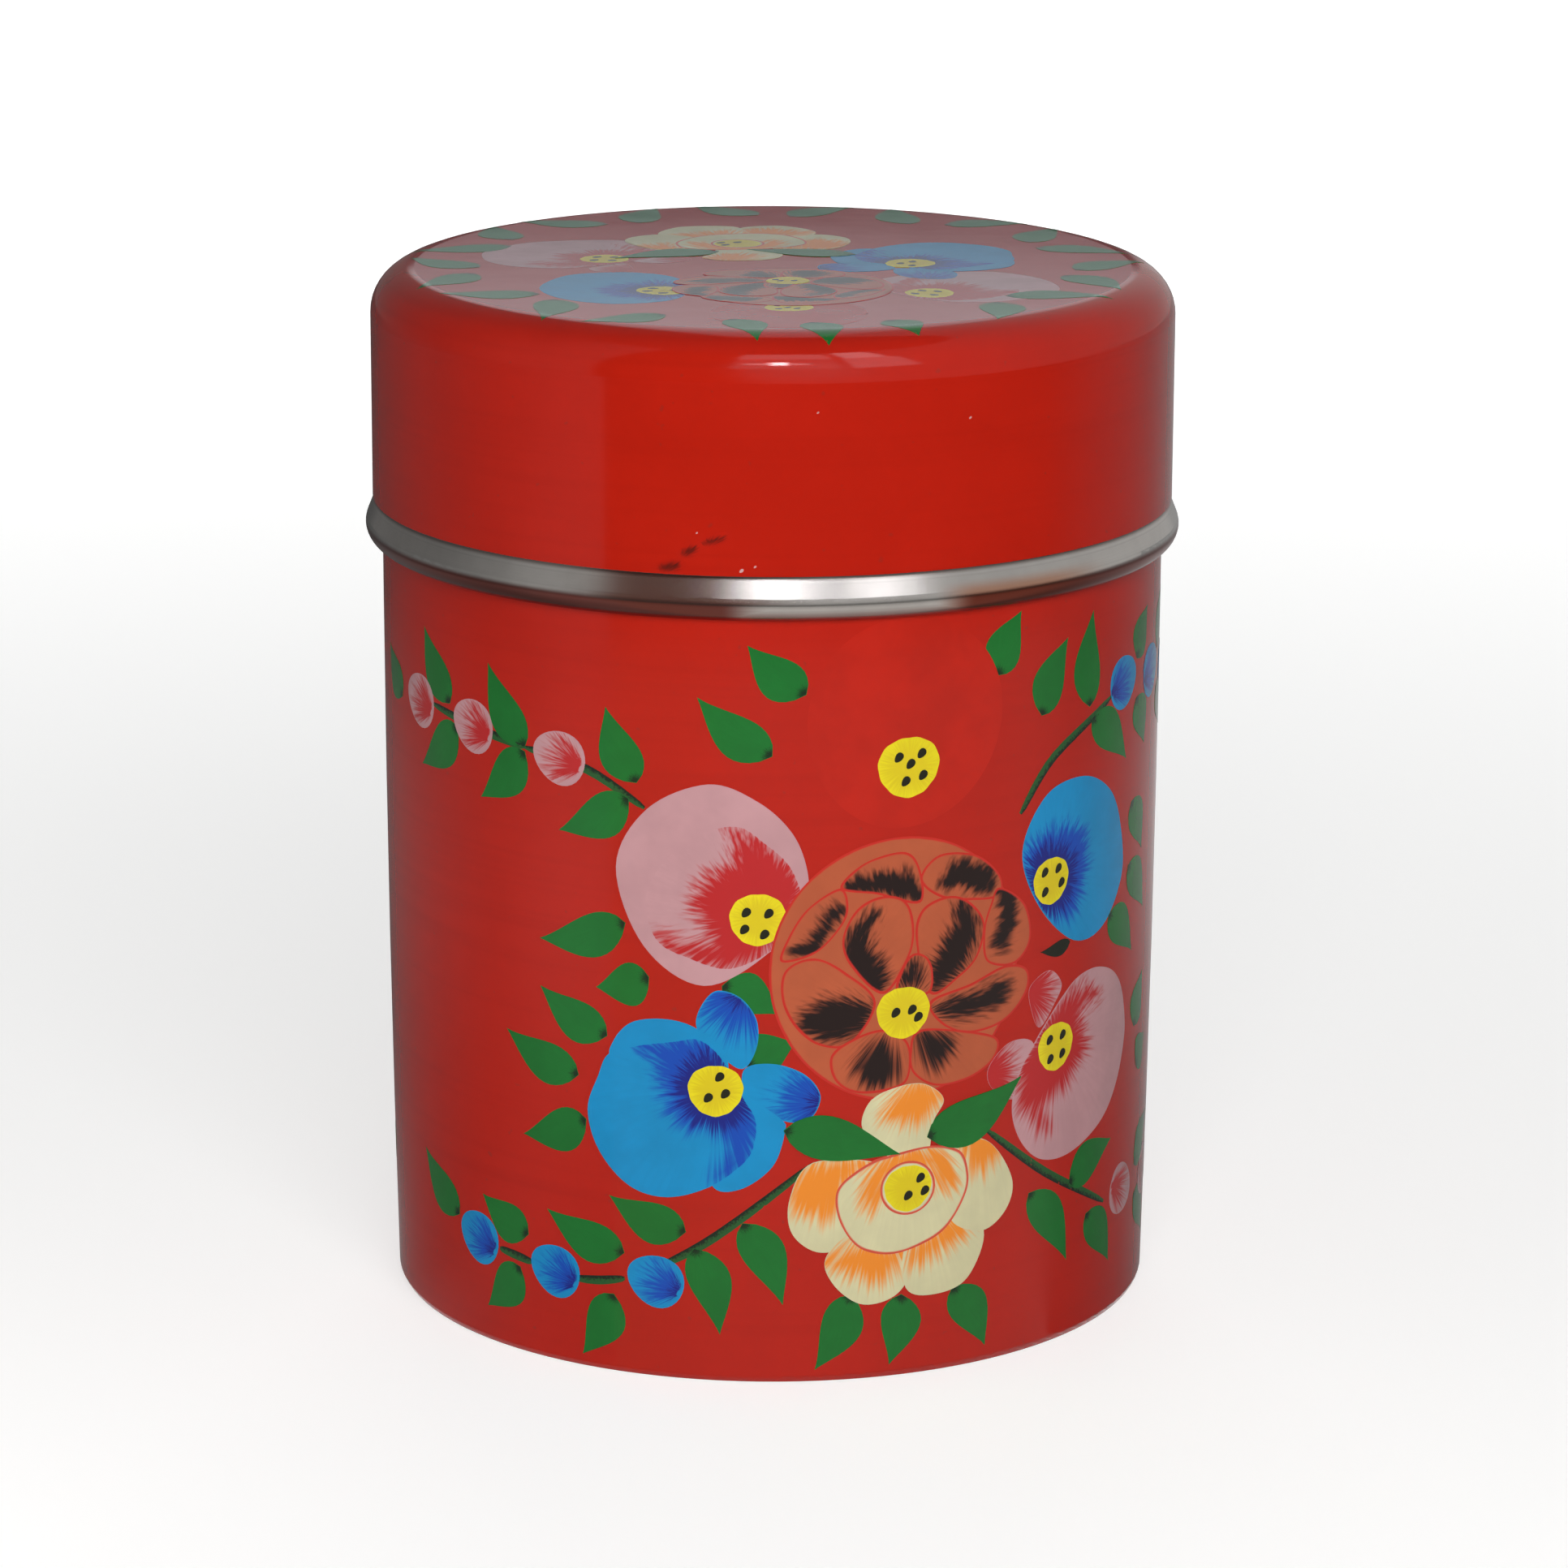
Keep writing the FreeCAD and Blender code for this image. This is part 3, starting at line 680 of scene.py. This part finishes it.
def rosette(spot):
    """A large rosette: a ground, outer petals with dark bands and inner petals with dark throats."""
    dab(spot, "petal_orange", egg(32.5, 33, steps=96) + np.array([-0.3, 5.4]))
    banded = (
        ([(-8, 16), (-5, 19), (0, 20), (2, 17.5), (2, 13.5), (-3.5, 15)],
         [(-7.3, 15.2), (-6.8, 16.9), (-3.5, 17.3), (-0.3, 17.5), (1.1, 16.5), (2.2, 14), (-3.5, 15.4)]),
        ([(2, 16.5), (4.5, 19.2), (9.5, 18.6), (13, 15.6), (13, 13), (9, 13), (4.5, 14)],
         [(4.8, 15.4), (6.4, 17.8), (9.2, 17.5), (11.9, 16.3), (11.8, 14), (9, 14.5), (6.6, 15.3)]),
        ([(-8, 16), (-12, 13.5), (-14.5, 9.5), (-15, 7), (-11, 8), (-8, 11), (-7, 13.5)],
         [(-9.5, 13.4), (-7.7, 13.2), (-9.6, 10.3), (-11, 8), (-12.4, 7.6), (-13.6, 8.6), (-10.8, 10.4)]),
        ([(13, 14), (17, 11.3), (18, 6.7), (15.5, 4), (11.3, 5), (10.8, 9), (11.7, 12)],
         [(12.4, 13.8), (14.5, 14.4), (15.4, 12), (15.2, 8), (14.3, 6.5), (12.4, 6.5), (13.5, 10.8)]),
    )
    for outline, band in banded:
        dab(spot, "petal_orange", loop(outline), blot((0, 4), band, soft=1.3), margin=0.15)
    throated = (
        ([(-3.5, 1.5), (-7, 5.3), (-11, 7.4), (-14.5, 6), (-15, 2.5), (-13.5, -1), (-10.5, -3.5),
          (-6.5, -3.5)],
         (-1, -1), [(-4.2, 1), (-6.3, 1.9), (-9, 2.3), (-12, 0.5), (-12.5, -1), (-11, -2.2), (-9, -2.9),
                    (-5.5, -2), (-4.5, -0.5)]),
        ([(3.5, 1), (9, 2.5), (14, 4), (17.5, 3), (17.5, 0), (14, -3), (9, -3.7), (5, -2)],
         (1, -1), [(4.3, 0), (6.7, 0.7), (10.2, 1.3), (12.4, 1.9), (14.8, 1.2), (13.6, -0.3), (11, -1.1),
                   (7.1, -1.3), (5, -0.7)]),
        ([(-2.5, -2), (-6.5, -3), (-9, -5), (-8.5, -8), (-6, -9.7), (-2, -9.8), (0.7, -8.5), (0.7, -4)],
         (-1, 0), [(-2.8, -3.5), (-1, -5.5), (-0.9, -7.7), (-2.3, -9.2), (-4, -9), (-5.3, -7.7),
                   (-6, -6.2)]),
        ([(2, -2.5), (0.9, -5.5), (1.5, -8), (4.5, -9.8), (9, -9.5), (12.5, -7.7), (13, -5), (8, -3.3)],
         (1, 0), [(2.2, -2.7), (4.8, -3.5), (6.7, -4.7), (5.8, -6.5), (5, -7.6), (3.5, -6.8), (2.4, -5)]),
        ([(-2.5, 2.5), (-6.5, 6), (-7.7, 9.5), (-6, 13.2), (-3, 14.7), (0, 14), (1.2, 11), (0.7, 7)],
         (-8.5, 2), [(-3.6, 12.6), (-5.6, 11.6), (-7.3, 9.8), (-7.9, 7.6), (-7.6, 5.4), (-6.2, 3.2),
                     (-3, 2.2), (-2.2, 4.4), (-3.2, 7), (-4.8, 10)]),
        ([(3.4, 2), (7.4, 3.6), (10, 6), (10.8, 10), (8.5, 13), (5.5, 13.9), (2.3, 12.6), (1.5, 9)],
         (10.5, 2), [(7.2, 13.4), (8.8, 12.2), (9.7, 10), (9.5, 8), (8.3, 5.8), (6.4, 3.6), (3.8, 2.2),
                     (3.6, 5), (5, 7.6), (6.6, 10.2)]),
        ([(-0.8, 2.5), (-0.3, 5.5), (1.2, 7.2), (3, 6.6), (3.8, 4.5), (3.2, 2)],
         (1, 1), [(1.2, 6.4), (-0.5, 3.7), (2.3, 3.5)]),
    )
    for outline, source, throat in throated:
        dab(spot, "petal_orange", loop(outline), blot(source, throat, soft=1.7), margin=0.2)
    heart(spot, [(-1.0, 0.0), (1.1, 0.2), (1.9, -0.8)])


def pansy(spot):
    """A blue flower of one wide scalloped petal and two small ones."""
    small = (
        ([(0, 12.5), (-2, 10), (-2.2, 7.5), (0, 5), (3.2, 2.8), (5, 5.5), (5, 9), (3, 11.8)], (3.6, 12.5)),
        ([(3.4, 2.6), (7, 3.5), (11, 2), (12.8, -1), (10.5, -4), (4.4, -2)], (13.5, -1.6)),
    )
    for outline, source in small:
        dab(spot, "petal_blue", loop(outline), spread(source, 0.5, 6.5), margin=0.3)
    upper = [(-13, 2.5), (-13, 5), (-10.5, 7.8), (-6, 8.6), (-2, 7.5), (1.5, 4), (0, -2), (-8, -2)]
    right = [(-0.5, -12), (3, -12.5), (7, -9.5), (8.5, -5), (8, -3.5), (4.5, -1), (0, 2), (-1, -5)]
    for outline in (upper, right):
        dab(spot, "petal_blue", loop(outline))
    wide = [(-15, 0.5), (-16.5, -4), (-15, -9), (-11, -13), (-6, -14), (-0.5, -12.2), (3.6, -9), (4.8, -6.5),
            (4.9, -3.5), (3.5, -1), (0.8, 4), (-2, 6.3), (-5, 5.9), (-9.5, 5), (-13.5, 3.5)]
    throat = [(0.7, 3.6), (0.5, 5), (-0.7, 6.1), (-2.5, 6.2), (-4.9, 5.8), (-9.5, 4.9), (-7.4, 3.6),
              (-6.7, 1.1), (-6, -0.6), (-5, -3.1), (-3.2, -4.6), (0, -4.6), (1.1, -5.6), (2.1, -7.4),
              (0.2, -11.2), (3.5, -8.9), (4.6, -6.7), (4.9, -4.6), (4.7, -2.4), (3.5, -1)]
    dab(spot, "petal_blue", loop(wide), blot((0, 0), throat, start=3.3), margin=0.1)
    heart(spot, [(0.5, 1.7), (-0.9, -1.0), (1.2, -0.4)])


def poppy(spot):
    """A pink flower of one wide petal and two small ones with red tips."""
    small = (
        ([(-1.5, 10), (0.8, 7.8), (-0.5, 5.5), (-3, 3), (-4.5, 5.5), (-4.8, 8.5)], (-5.5, 8)),
        ([(-4.3, 1.5), (-8, 2), (-11, -0.5), (-10.8, -3), (-8, -5.2), (-5, -5), (-3.5, -2)], (-12, -1.5)),
    )
    for outline, source in small:
        dab(spot, "petal_pink", loop(outline), spread(source, 0.5, 5.5), margin=0.05)
    wide = [(1.4, 6.4), (4.2, 8), (8, 8.3), (12, 7), (14.8, 4.4), (16.3, 0.5), (16.5, -3), (14.5, -8),
            (10.5, -12), (3.5, -14.5), (-2, -14.2), (-5.6, -11.3), (-7.3, -7), (-6.5, -2.5), (-4, 1),
            (-1.5, 3.8)]
    throat = [(8.6, 4.8), (6, 6), (2.7, 6), (-1.2, 4), (-3.8, 1.7), (-5.9, -1.7), (-6.3, -4.2),
              (-5.4, -6.3), (-3.7, -8.8), (-0.6, -10.7), (-2.5, -7.3), (1.8, -5.4), (3.6, -3.6), (5.9, -1.7),
              (4.9, 1.6), (4.8, 4)]
    dab(spot, "petal_pink", loop(wide), blot((0, 0), throat), margin=0.3)
    heart(spot, [(-1.2, 1.0), (1.2, 1.2), (-1.0, -1.5), (1.2, -1.2)], radius=3.1)


def cream_rose(spot):
    """A cream flower of five petals round a ringed cup, with two large leaves over it."""
    petals = (
        ([(-6, 8.5), (-4.8, 11.6), (-1.5, 13), (2, 13), (4.6, 10.8), (3.2, 8), (2.4, 4), (-1.5, 3.5),
          (-4.2, 6)],
         (1.5, 15), [(-0.4, 12.7), (1.9, 13), (4.2, 11.2), (1.9, 9), (0, 8.3), (-2.7, 9.7)]),
        ([(-12, 4), (-14.8, -0.5), (-14.5, -5), (-11, -7.5), (-6.5, -6), (-5, 0), (-4, 3.5)],
         (-8, 12), [(-12.6, 3.1), (-14.5, -0.9), (-10.3, -2.8), (-8.4, 1.3), (-4.2, 3.9)]),
        ([(-10.2, -8), (-9.5, -11.5), (-6, -14.4), (-2, -14), (0.2, -11.5), (0, -7), (-5.5, -4)],
         (-4, -2), [(-9.4, -8.4), (-9.9, -9.6), (-6, -10.4), (-3.4, -11.6), (-0.8, -8.3), (-6, -7)]),
        ([(0, -13), (4, -14.2), (8.5, -12.7), (10.7, -7), (6, -3), (0, -7)],
         (2, -1), [(1.1, -7.9), (3.4, -6.4), (6.5, -5.1), (7.8, -6.4), (5, -7.9), (1.3, -9.7)]),
        ([(10.5, -7), (14, -5), (15, -1.5), (12.5, 3), (9.5, 5), (5, 4), (6, 0), (6, -5)],
         (9, 12), [(7.3, 6.4), (9.5, 6.6), (12.2, 5), (13, 3.1), (9.9, 0.9), (8.4, 2.4)]),
    )
    for outline, source, throat in petals:
        dab(spot, "petal_cream", loop(outline), blot(source, throat), margin=0.1)
    cup = [(-9.2, -0.9), (-8.4, 1.3), (-5.3, 3.5), (-2.3, 4.4), (2.7, 5), (6.9, 3.9), (8.2, 0.9), (7.8, -2),
           (5.3, -5.7), (1.9, -7.5), (-2.3, -8.3), (-6.1, -7.2), (-8.4, -4.2)]
    arch = [(-4.8, -2.6), (-5.6, -0.4), (-5.2, 1.6), (-3.6, 3.4), (-1.2, 4.4), (1.6, 4.6), (4.2, 3.7),
            (5.7, 1.7), (5.9, -0.6), (4.2, 0), (2.8, 2), (0, 2.8), (-2.8, 1.6), (-3.6, -0.6)]
    dab(spot, "petal_cream_ringed", loop(cup), blot((0, 8), arch, soft=1.8))
    dab(spot, "petal_cream_ringed", egg(7.2, 6.9, steps=40))
    heart(spot, [(0, -1), (1.6, 1.1), (2.2, -0.6)], radius=3.0)
    leaf(spot, (-15.6, 8.2), (-1.0, 4.4), width=5.6, bend=0.02)
    leaf(spot, (2.4, 6.2), (16, 11.8), width=6.0, bend=-0.08)


def bouquet(spot):
    """Six flowers round the rosette on the can's side."""
    for flower, x, y in ((red_cup, 0, 30.5), (pink_cup, -18.2, 6.9), (blue_cup, 21.2, 8),
                         (pansy, -23.3, -14.7), (poppy, 22.7, -13.4)):
        flower(spot.at(x, y, layer=FLOWERS))
    rosette(spot.at(-0.3, -5.4, layer=ROSETTE))
    cream_rose(spot.at(0.6, -27.8, layer=ROSE))


def can_leaves(spot):
    """Leaves round the bouquet on the can's side."""
    leaves(spot, (-12.5, 34.5, -19.5, 40.5), (-16.5, 27, -25.5, 34), (12, 35, 15.5, 42.5),
           (19, 29, 23.5, 38), (28, 28.5, 28.5, 40.5), (28.5, 27, 37.5, 20), (-34.5, 5.5, -46.5, 2),
           (-31.5, -1, -38.5, -3), (-37, -9, -46.5, -4), (-41, -14.5, -52, -10.5), (-40, -20, -49.5, -23.5),
           (-22.5, -1.5, -15.5, -5), (-19.5, -11.5, -13.5, -8.5), (39.5, 14, 44, 7), (39, 6, 45.5, -1),
           (33.5, 1, 41, -5.5), (43, -16, 46.5, -9.5), (-6.5, -41, -11, -50.5), (0, -41.5, -1.5, -50.5),
           (7, -41.5, 12, -50))
    leaf(spot, (25, -0.5), (19.5, -0.8), width=2.0, paint="seed_black")


def left_sprays(spot):
    """Pink buds that lead from the pink cup to the left, and blue ones from the cream rose."""
    stem(spot, (-32, 20), (-39.5, 24), (-48.5, 25.5))
    stem(spot, (-48.5, 25.5), (-55, 26.3), (-66, 27.7))
    buds(spot, "petal_pink", -15, (-43.5, 25), (-57.5, 26.7), (-69.5, 27.5))
    leaves(spot, (-33, 23, -37, 32), (-34, 21, -43.5, 16), (-48.5, 25.5, -54.5, 35), (-48.5, 25, -56, 18),
           (-62, 28.5, -68, 37), (-60.5, 26, -69, 19.5), (-75.5, 26.5, -81.5, 32))
    stem(spot, (-11.5, -24), (-23.5, -33.5), (-30, -37.5))
    stem(spot, (-35, -39.8), (-38.5, -40.5), (-42, -40.8))
    stem(spot, (-48.5, -40), (-51, -39.7), (-54, -39.4))
    buds(spot, "petal_blue", -20, (-31, -39.6), (-45, -40.3), (-58, -38.8))
    leaves(spot, (-20, -31.5, -15, -42), (-26, -35, -22.8, -46), (-27, -33, -37, -29.3),
           (-35, -36.5, -46, -32.5), (-36.5, -42, -41, -50.5), (-49, -36.5, -57, -33),
           (-50.5, -41, -56.5, -47.5), (-62, -37, -70.5, -30.5))


def right_sprays(spot):
    """Blue buds that lead over the blue cup to the right, and pink ones from the cream rose."""
    stem(spot, (15.8, 17.3), (21.5, 23.7), (33, 28.8))
    buds(spot, "petal_blue", 195, (36.5, 30), (47, 29.3), (57.5, 27.5))
    leaves(spot, (40.5, 27, 44, 20.5), (40.5, 32, 44.5, 38), (51, 31, 56, 38), (51, 26, 56.5, 20))
    stem(spot, (11.5, -22), (21.5, -29.5), (34.5, -36.6))
    buds(spot, "petal_pink", 160, (40, -36.5), (52, -37.5))
    leaves(spot, (26, -32, 36, -28.7), (18.5, -31.5, 26, -42), (30, -37, 36.5, -45),
           (44.5, -21.5, 49, -18.5), (45.5, -35, 53.5, -30), (46, -39, 53, -46), (58, -38, 66, -34))


def wreath(spot):
    """Leaves round the lid's top, and three that fill their gap at the front."""
    gap_start, gap_end = WREATH_GAP
    for index in range(WREATH_LEAVES):
        bearing = 360 * index / WREATH_LEAVES + WREATH_START
        if bearing > gap_start or bearing < gap_end:
            continue
        lean = WREATH_LEAN if index % 2 else -WREATH_LEAN
        base = towards(bearing - lean, WREATH_INNER + index % 3)
        tip = towards(bearing + lean, WREATH_OUTER + index % 2)
        leaf(spot, base, tip, width=5.6)
    leaves(spot, (-5, -38, -1.8, -47.6), (4.5, -40, 6.6, -48), (13.5, -38.5, 17.2, -44.3), width=5.0)


def lid_spray(spot):
    """The flowers on the lid's top, their foot away from the camera, in a wreath of leaves."""
    red_cup(spot.at(2, -34, 180, 0.75, FLOWERS))
    pink_cup(spot.at(19, -20, 261, 0.92, FLOWERS))
    blue_cup(spot.at(-13.5, -19, 143, 0.98, FLOWERS))
    pansy(spot.at(17, 1, 205, 0.94, LID_PANSY))
    poppy(spot.at(-21, 3.5, 172, 0.95, FLOWERS))
    rosette(spot.at(1.8, -12, 180, 0.78, LID_ROSETTE))
    cream_rose(spot.at(-4.5, 15, 180, 0.95, LID_ROSETTE))
    wreath(spot)


def lid_wear(spot):
    """Marks of use on the lid's side over the bead: a soft dark rub and a few bare specks."""
    rubs = ((-9.8, 2.9, 1.6, 0.5, 25), (-12.2, 0.9, 2.2, 0.6, 12), (-6.8, 4.3, 2.4, 0.25, 18))
    specks = ((-3.6, 0.7, 0.6), (-2.0, 1.2, 0.4), (-8.9, 5.1, 0.3), (5.3, 19.6, 0.35), (24.2, 18, 0.4))
    for x, y, length, width, turn in rubs:
        rub = egg(length, width, 0.2, turn, steps=12)
        ground = egg(length + 2.0, width + 1.2, 0.2, turn, steps=24)
        dab(spot.at(x, y), "rub_brown", ground, blot((-1, -1), rub, soft=0.6), margin=0.3)
    for x, y, size in specks:
        dab(spot.at(x, y), "bare_scuff", egg(size, size * 0.6, 0.2, 40, steps=10))


def ornament():
    """Paints the sprays and hands each paint's films to the body that carries them."""
    for bearing in BOUQUET_BEARINGS:
        side = Spot(RoundSide("can", CAN_RADIUS, bearing, BOUQUET_HEIGHT, FOOT_DRAW))
        for motif in (can_leaves, left_sprays, right_sprays, bouquet):
            motif(side)
    lid_spray(Spot(LidTop(), layer=LID_LEAVES))
    lid_wear(Spot(RoundSide("lid", LID_RADIUS, 0.0, LID_FOOT)))
    mixed = paints()
    for (body, paint), store in films.items():
        piece = store.piece(f"{body}_{paint}", mixed[paint])
        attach(piece, body)


def coat_nodes():
    """Gives the caddy's own pieces their enamel and steel."""
    finishes = {"red_enamel": enamel_paint(), "bare_steel": bare_steel()}
    for subpart in frame["record"]["subparts"]:
        node = frame["nodes"][subpart["node"]]
        node.material_slots[0].material = finishes[subpart["material_slot"]]


def stage_sheet(name, corners, material):
    """A flat sheet of the stage through corners in metres."""
    mesh = bpy.data.meshes.new(name)
    mesh.from_pydata(corners, [], [tuple(range(len(corners)))])
    mesh.materials.append(material)
    sheet = placed(name, mesh)
    return sheet


def gloss_card(name, corners, material):
    """A sheet that is seen only in the caddy's gloss."""
    card = stage_sheet(name, corners, material)
    card.visible_camera = False
    card.visible_diffuse = False
    card.visible_shadow = False


def pale_floor():
    """A pale floor that shows as white and keeps the caddy's shadow."""
    shader = Shader("pale_floor")
    shader.finish(colour=srgb(190, 190, 188), rough=0.9, mirror=0.0)
    far = shader.vector("LENGTH", shader.place())
    path = shader.node("ShaderNodeLightPath").outputs
    seen = shader.math("MAXIMUM", path["Is Camera Ray"], path["Is Glossy Ray"])
    seen = shader.math("MAXIMUM", seen, path["Is Transmission Ray"])
    level = shader.times(seen, shader.span(far, 0.05, 0.8, 0.64, 0.93))
    glow = shader.fill(shader.node("ShaderNodeEmission"), {"Strength": level})
    both = shader.fill(shader.node("ShaderNodeAddShader"), {0: shader.surface.outputs[0], 1: glow})
    half = 6.0
    corners = [(-half, -half, 0), (half, -half, 0), (half, half, 0), (-half, half, 0)]
    stage_sheet("floor", corners, shader.show(both))


def cloth_glow():
    """The cloth under the caddy as its gloss shows it: warm in front, paler at the left and the right."""
    shader = Shader("cloth_card")
    x, y, _ = shader.parts(shader.place())
    far = shader.vector("LENGTH", shader.join(x, y, 0.0))
    bearing = shader.bearing(x, y)

    def bearing_from(from_x, from_y):
        return shader.bearing(shader.math("SUBTRACT", x, from_x), shader.math("SUBTRACT", y, from_y))

    # The sides are dimmer close by and far off.
    left = shader.times(shader.span(bearing, -2.9, -1.7, 0.1, 0.31),
                        shader.span(bearing, -1.4, -0.95, 1.0, 1.8))
    right = shader.span(bearing, 1.2, 2.6, 0.32, 0.47)
    sides = shader.span(bearing, -0.1, 0.1, left, right)
    sides = shader.times(sides, shader.span(far, 0.08, 0.25, 0.7, 1.15))
    sides = shader.times(sides, shader.span(far, 0.26, 0.42, 1.0, 0.6))

    # The front ends sharply at the left and softly at the right.
    front = shader.times(shader.span(far, 0.10, 0.38, 0.65, 0.6), shader.span(far, 0.40, 0.48, 1.0, 0.1))
    facing = shader.times(shader.span(bearing_from(-0.020, -0.045), -0.86, -0.82),
                          shader.span(bearing_from(0.036, -0.033), 1.2, 2.0, 1.0, 0.0))
    warm = shader.times(facing, shader.span(bearing, -0.5, 0.0, 1.0, 0.3))
    colour = shader.mix(warm, (1.0, 1.0, 1.0, 1.0), (1.0, 0.82, 0.7, 1.0))
    return shader.glow(colour, shader.span(facing, 0.0, 1.0, sides, front))


def room_glow():
    """The dim room round the caddy: grey at the left and right, warm in front, pale straight behind."""
    shader = Shader("room_card")
    x, y, z = shader.parts(shader.place())
    bearing = shader.bearing(x, y)
    left_edge = -0.90, -0.84        # bearings between which the left side ends
    left = shader.span(bearing, -1.9, -0.95, 0.16, 0.42)
    right = shader.span(bearing, -0.35, 0.2, 0.115, 0.5)
    sides = shader.span(bearing, *left_edge, left, right)
    behind = shader.span(z, 0.44, 0.51, 0.10, 0.9)
    far_side = shader.span(y, 1.955, 1.975)
    warm = shader.times(shader.span(bearing, *left_edge), shader.span(bearing, -0.3, 0.1, 1.0, 0.0))
    colour = shader.mix(warm, (1.0, 0.97, 0.95, 1.0), (1.0, 0.36, 0.24, 1.0))
    colour = shader.mix(far_side, colour, (0.88, 0.95, 1.0, 1.0))
    return shader.glow(colour, shader.span(far_side, 0.0, 1.0, sides, behind))


def window_card(name, bearings, rises, strength, distance=1.6):
    """A bright card between two bearings and two elevations, in degrees seen from the lid."""
    lid_middle = Vector((0, 0, 0.115))
    (first, last), (low, high) = bearings, rises
    corners = [lid_middle + distance * direction(bearing, rise)
               for bearing, rise in ((first, low), (last, low), (last, high), (first, high))]
    gloss_card(name, corners, Shader(name).glow((1.0, 0.97, 1.0, 1.0), strength))


def reflection_cards():
    """What the caddy mirrors: the cloth it stands on, the room round it and the windows in front."""
    far, high, step = 2.0, 4.0, 15
    over_floor = 0.001
    ring = [towards(bearing, far) for bearing in range(-180, 181, step)]
    gloss_card("cloth_card", [(*place, over_floor) for place in ring[:-1]], cloth_glow())
    room = room_glow()
    for number, (first, last) in enumerate(zip(ring, ring[1:])):
        corners = [(*first, 0), (*last, 0), (*last, high), (*first, high)]
        gloss_card(f"room_card_{number}", corners, room)
    window_card("front_window", (-12, 20), (24, 47), 1.1)
    window_card("front_sash", (-12, 20), (47.5, 60), 2.4)
    window_card("right_window", (23.5, 43), (24, 47), 2.4)
    window_card("right_sash", (25, 40), (47.5, 62), 4.5)
    window_card("front_lamp", (-9, 11), (35, 38), 6.0, 1.5)
    window_card("spark_lamp", (-0.5, 3.5), (34, 41), 50.0, 1.4)


def soft_light(name, bearing, elevation, distance, size, watts):
    """A soft light that faces the caddy's middle, by metres and degrees."""
    lamp = bpy.data.lights.new(name, "AREA")
    lamp.size = size
    lamp.energy = watts
    light = placed(name, lamp)
    out = direction(bearing, elevation)
    light.location = Vector((0, 0, LID_TOP / 2 * MM)) + distance * out
    light.rotation_euler = out.to_track_quat("Z", "Y").to_euler()
    light.visible_camera = False
    light.visible_glossy = False


def lights():
    """A soft key light in front, light thrown up from the floor at the left, and a fill behind."""
    soft_light("key", bearing=8, elevation=24, distance=0.6, size=0.35, watts=2.7)
    soft_light("left_bounce", bearing=-60, elevation=-14, distance=0.2, size=0.12, watts=0.07)
    soft_light("back_fill", bearing=180, elevation=5, distance=1.5, size=0.9, watts=15.0)


def studio_world():
    """An even, dim room light."""
    world = bpy.data.worlds.new("studio")
    bpy.context.scene.world = world
    world.use_nodes = True
    background = world.node_tree.nodes["Background"]
    background.inputs["Color"].default_value = (1.0, 1.0, 1.0, 1.0)
    background.inputs["Strength"].default_value = 0.11


def photo_camera():
    """A long lens, a little above the caddy, where the photograph was taken from."""
    distance, elevation = 780.0, 16.0       # from the point aimed at
    aim_height = 44.24
    yaw, pitch, roll = 0.118, 1.355, 0.184  # degrees by which the camera looks past that point
    camera = placed("camera", bpy.data.cameras.new("camera"))
    camera.data.sensor_width = 36.0
    camera.data.lens = 140.17
    camera.data.clip_start = 0.01
    camera.data.clip_end = 100.0
    rise = math.radians(elevation)
    place = Vector((0, -distance * math.cos(rise), aim_height + distance * math.sin(rise))) * MM
    aim = Matrix.Rotation(math.pi / 2 - rise, 4, "X")
    look = (Matrix.Rotation(-math.radians(yaw), 4, "Y") @ Matrix.Rotation(math.radians(pitch), 4, "X")
            @ Matrix.Rotation(math.radians(roll), 4, "Z"))
    camera.matrix_world = Matrix.Translation(place) @ aim @ look
    bpy.context.scene.camera = camera


coat_nodes()
ornament()
pale_floor()
reflection_cards()
lights()
studio_world()
photo_camera()
bpy.context.scene.view_settings.view_transform = "Standard"
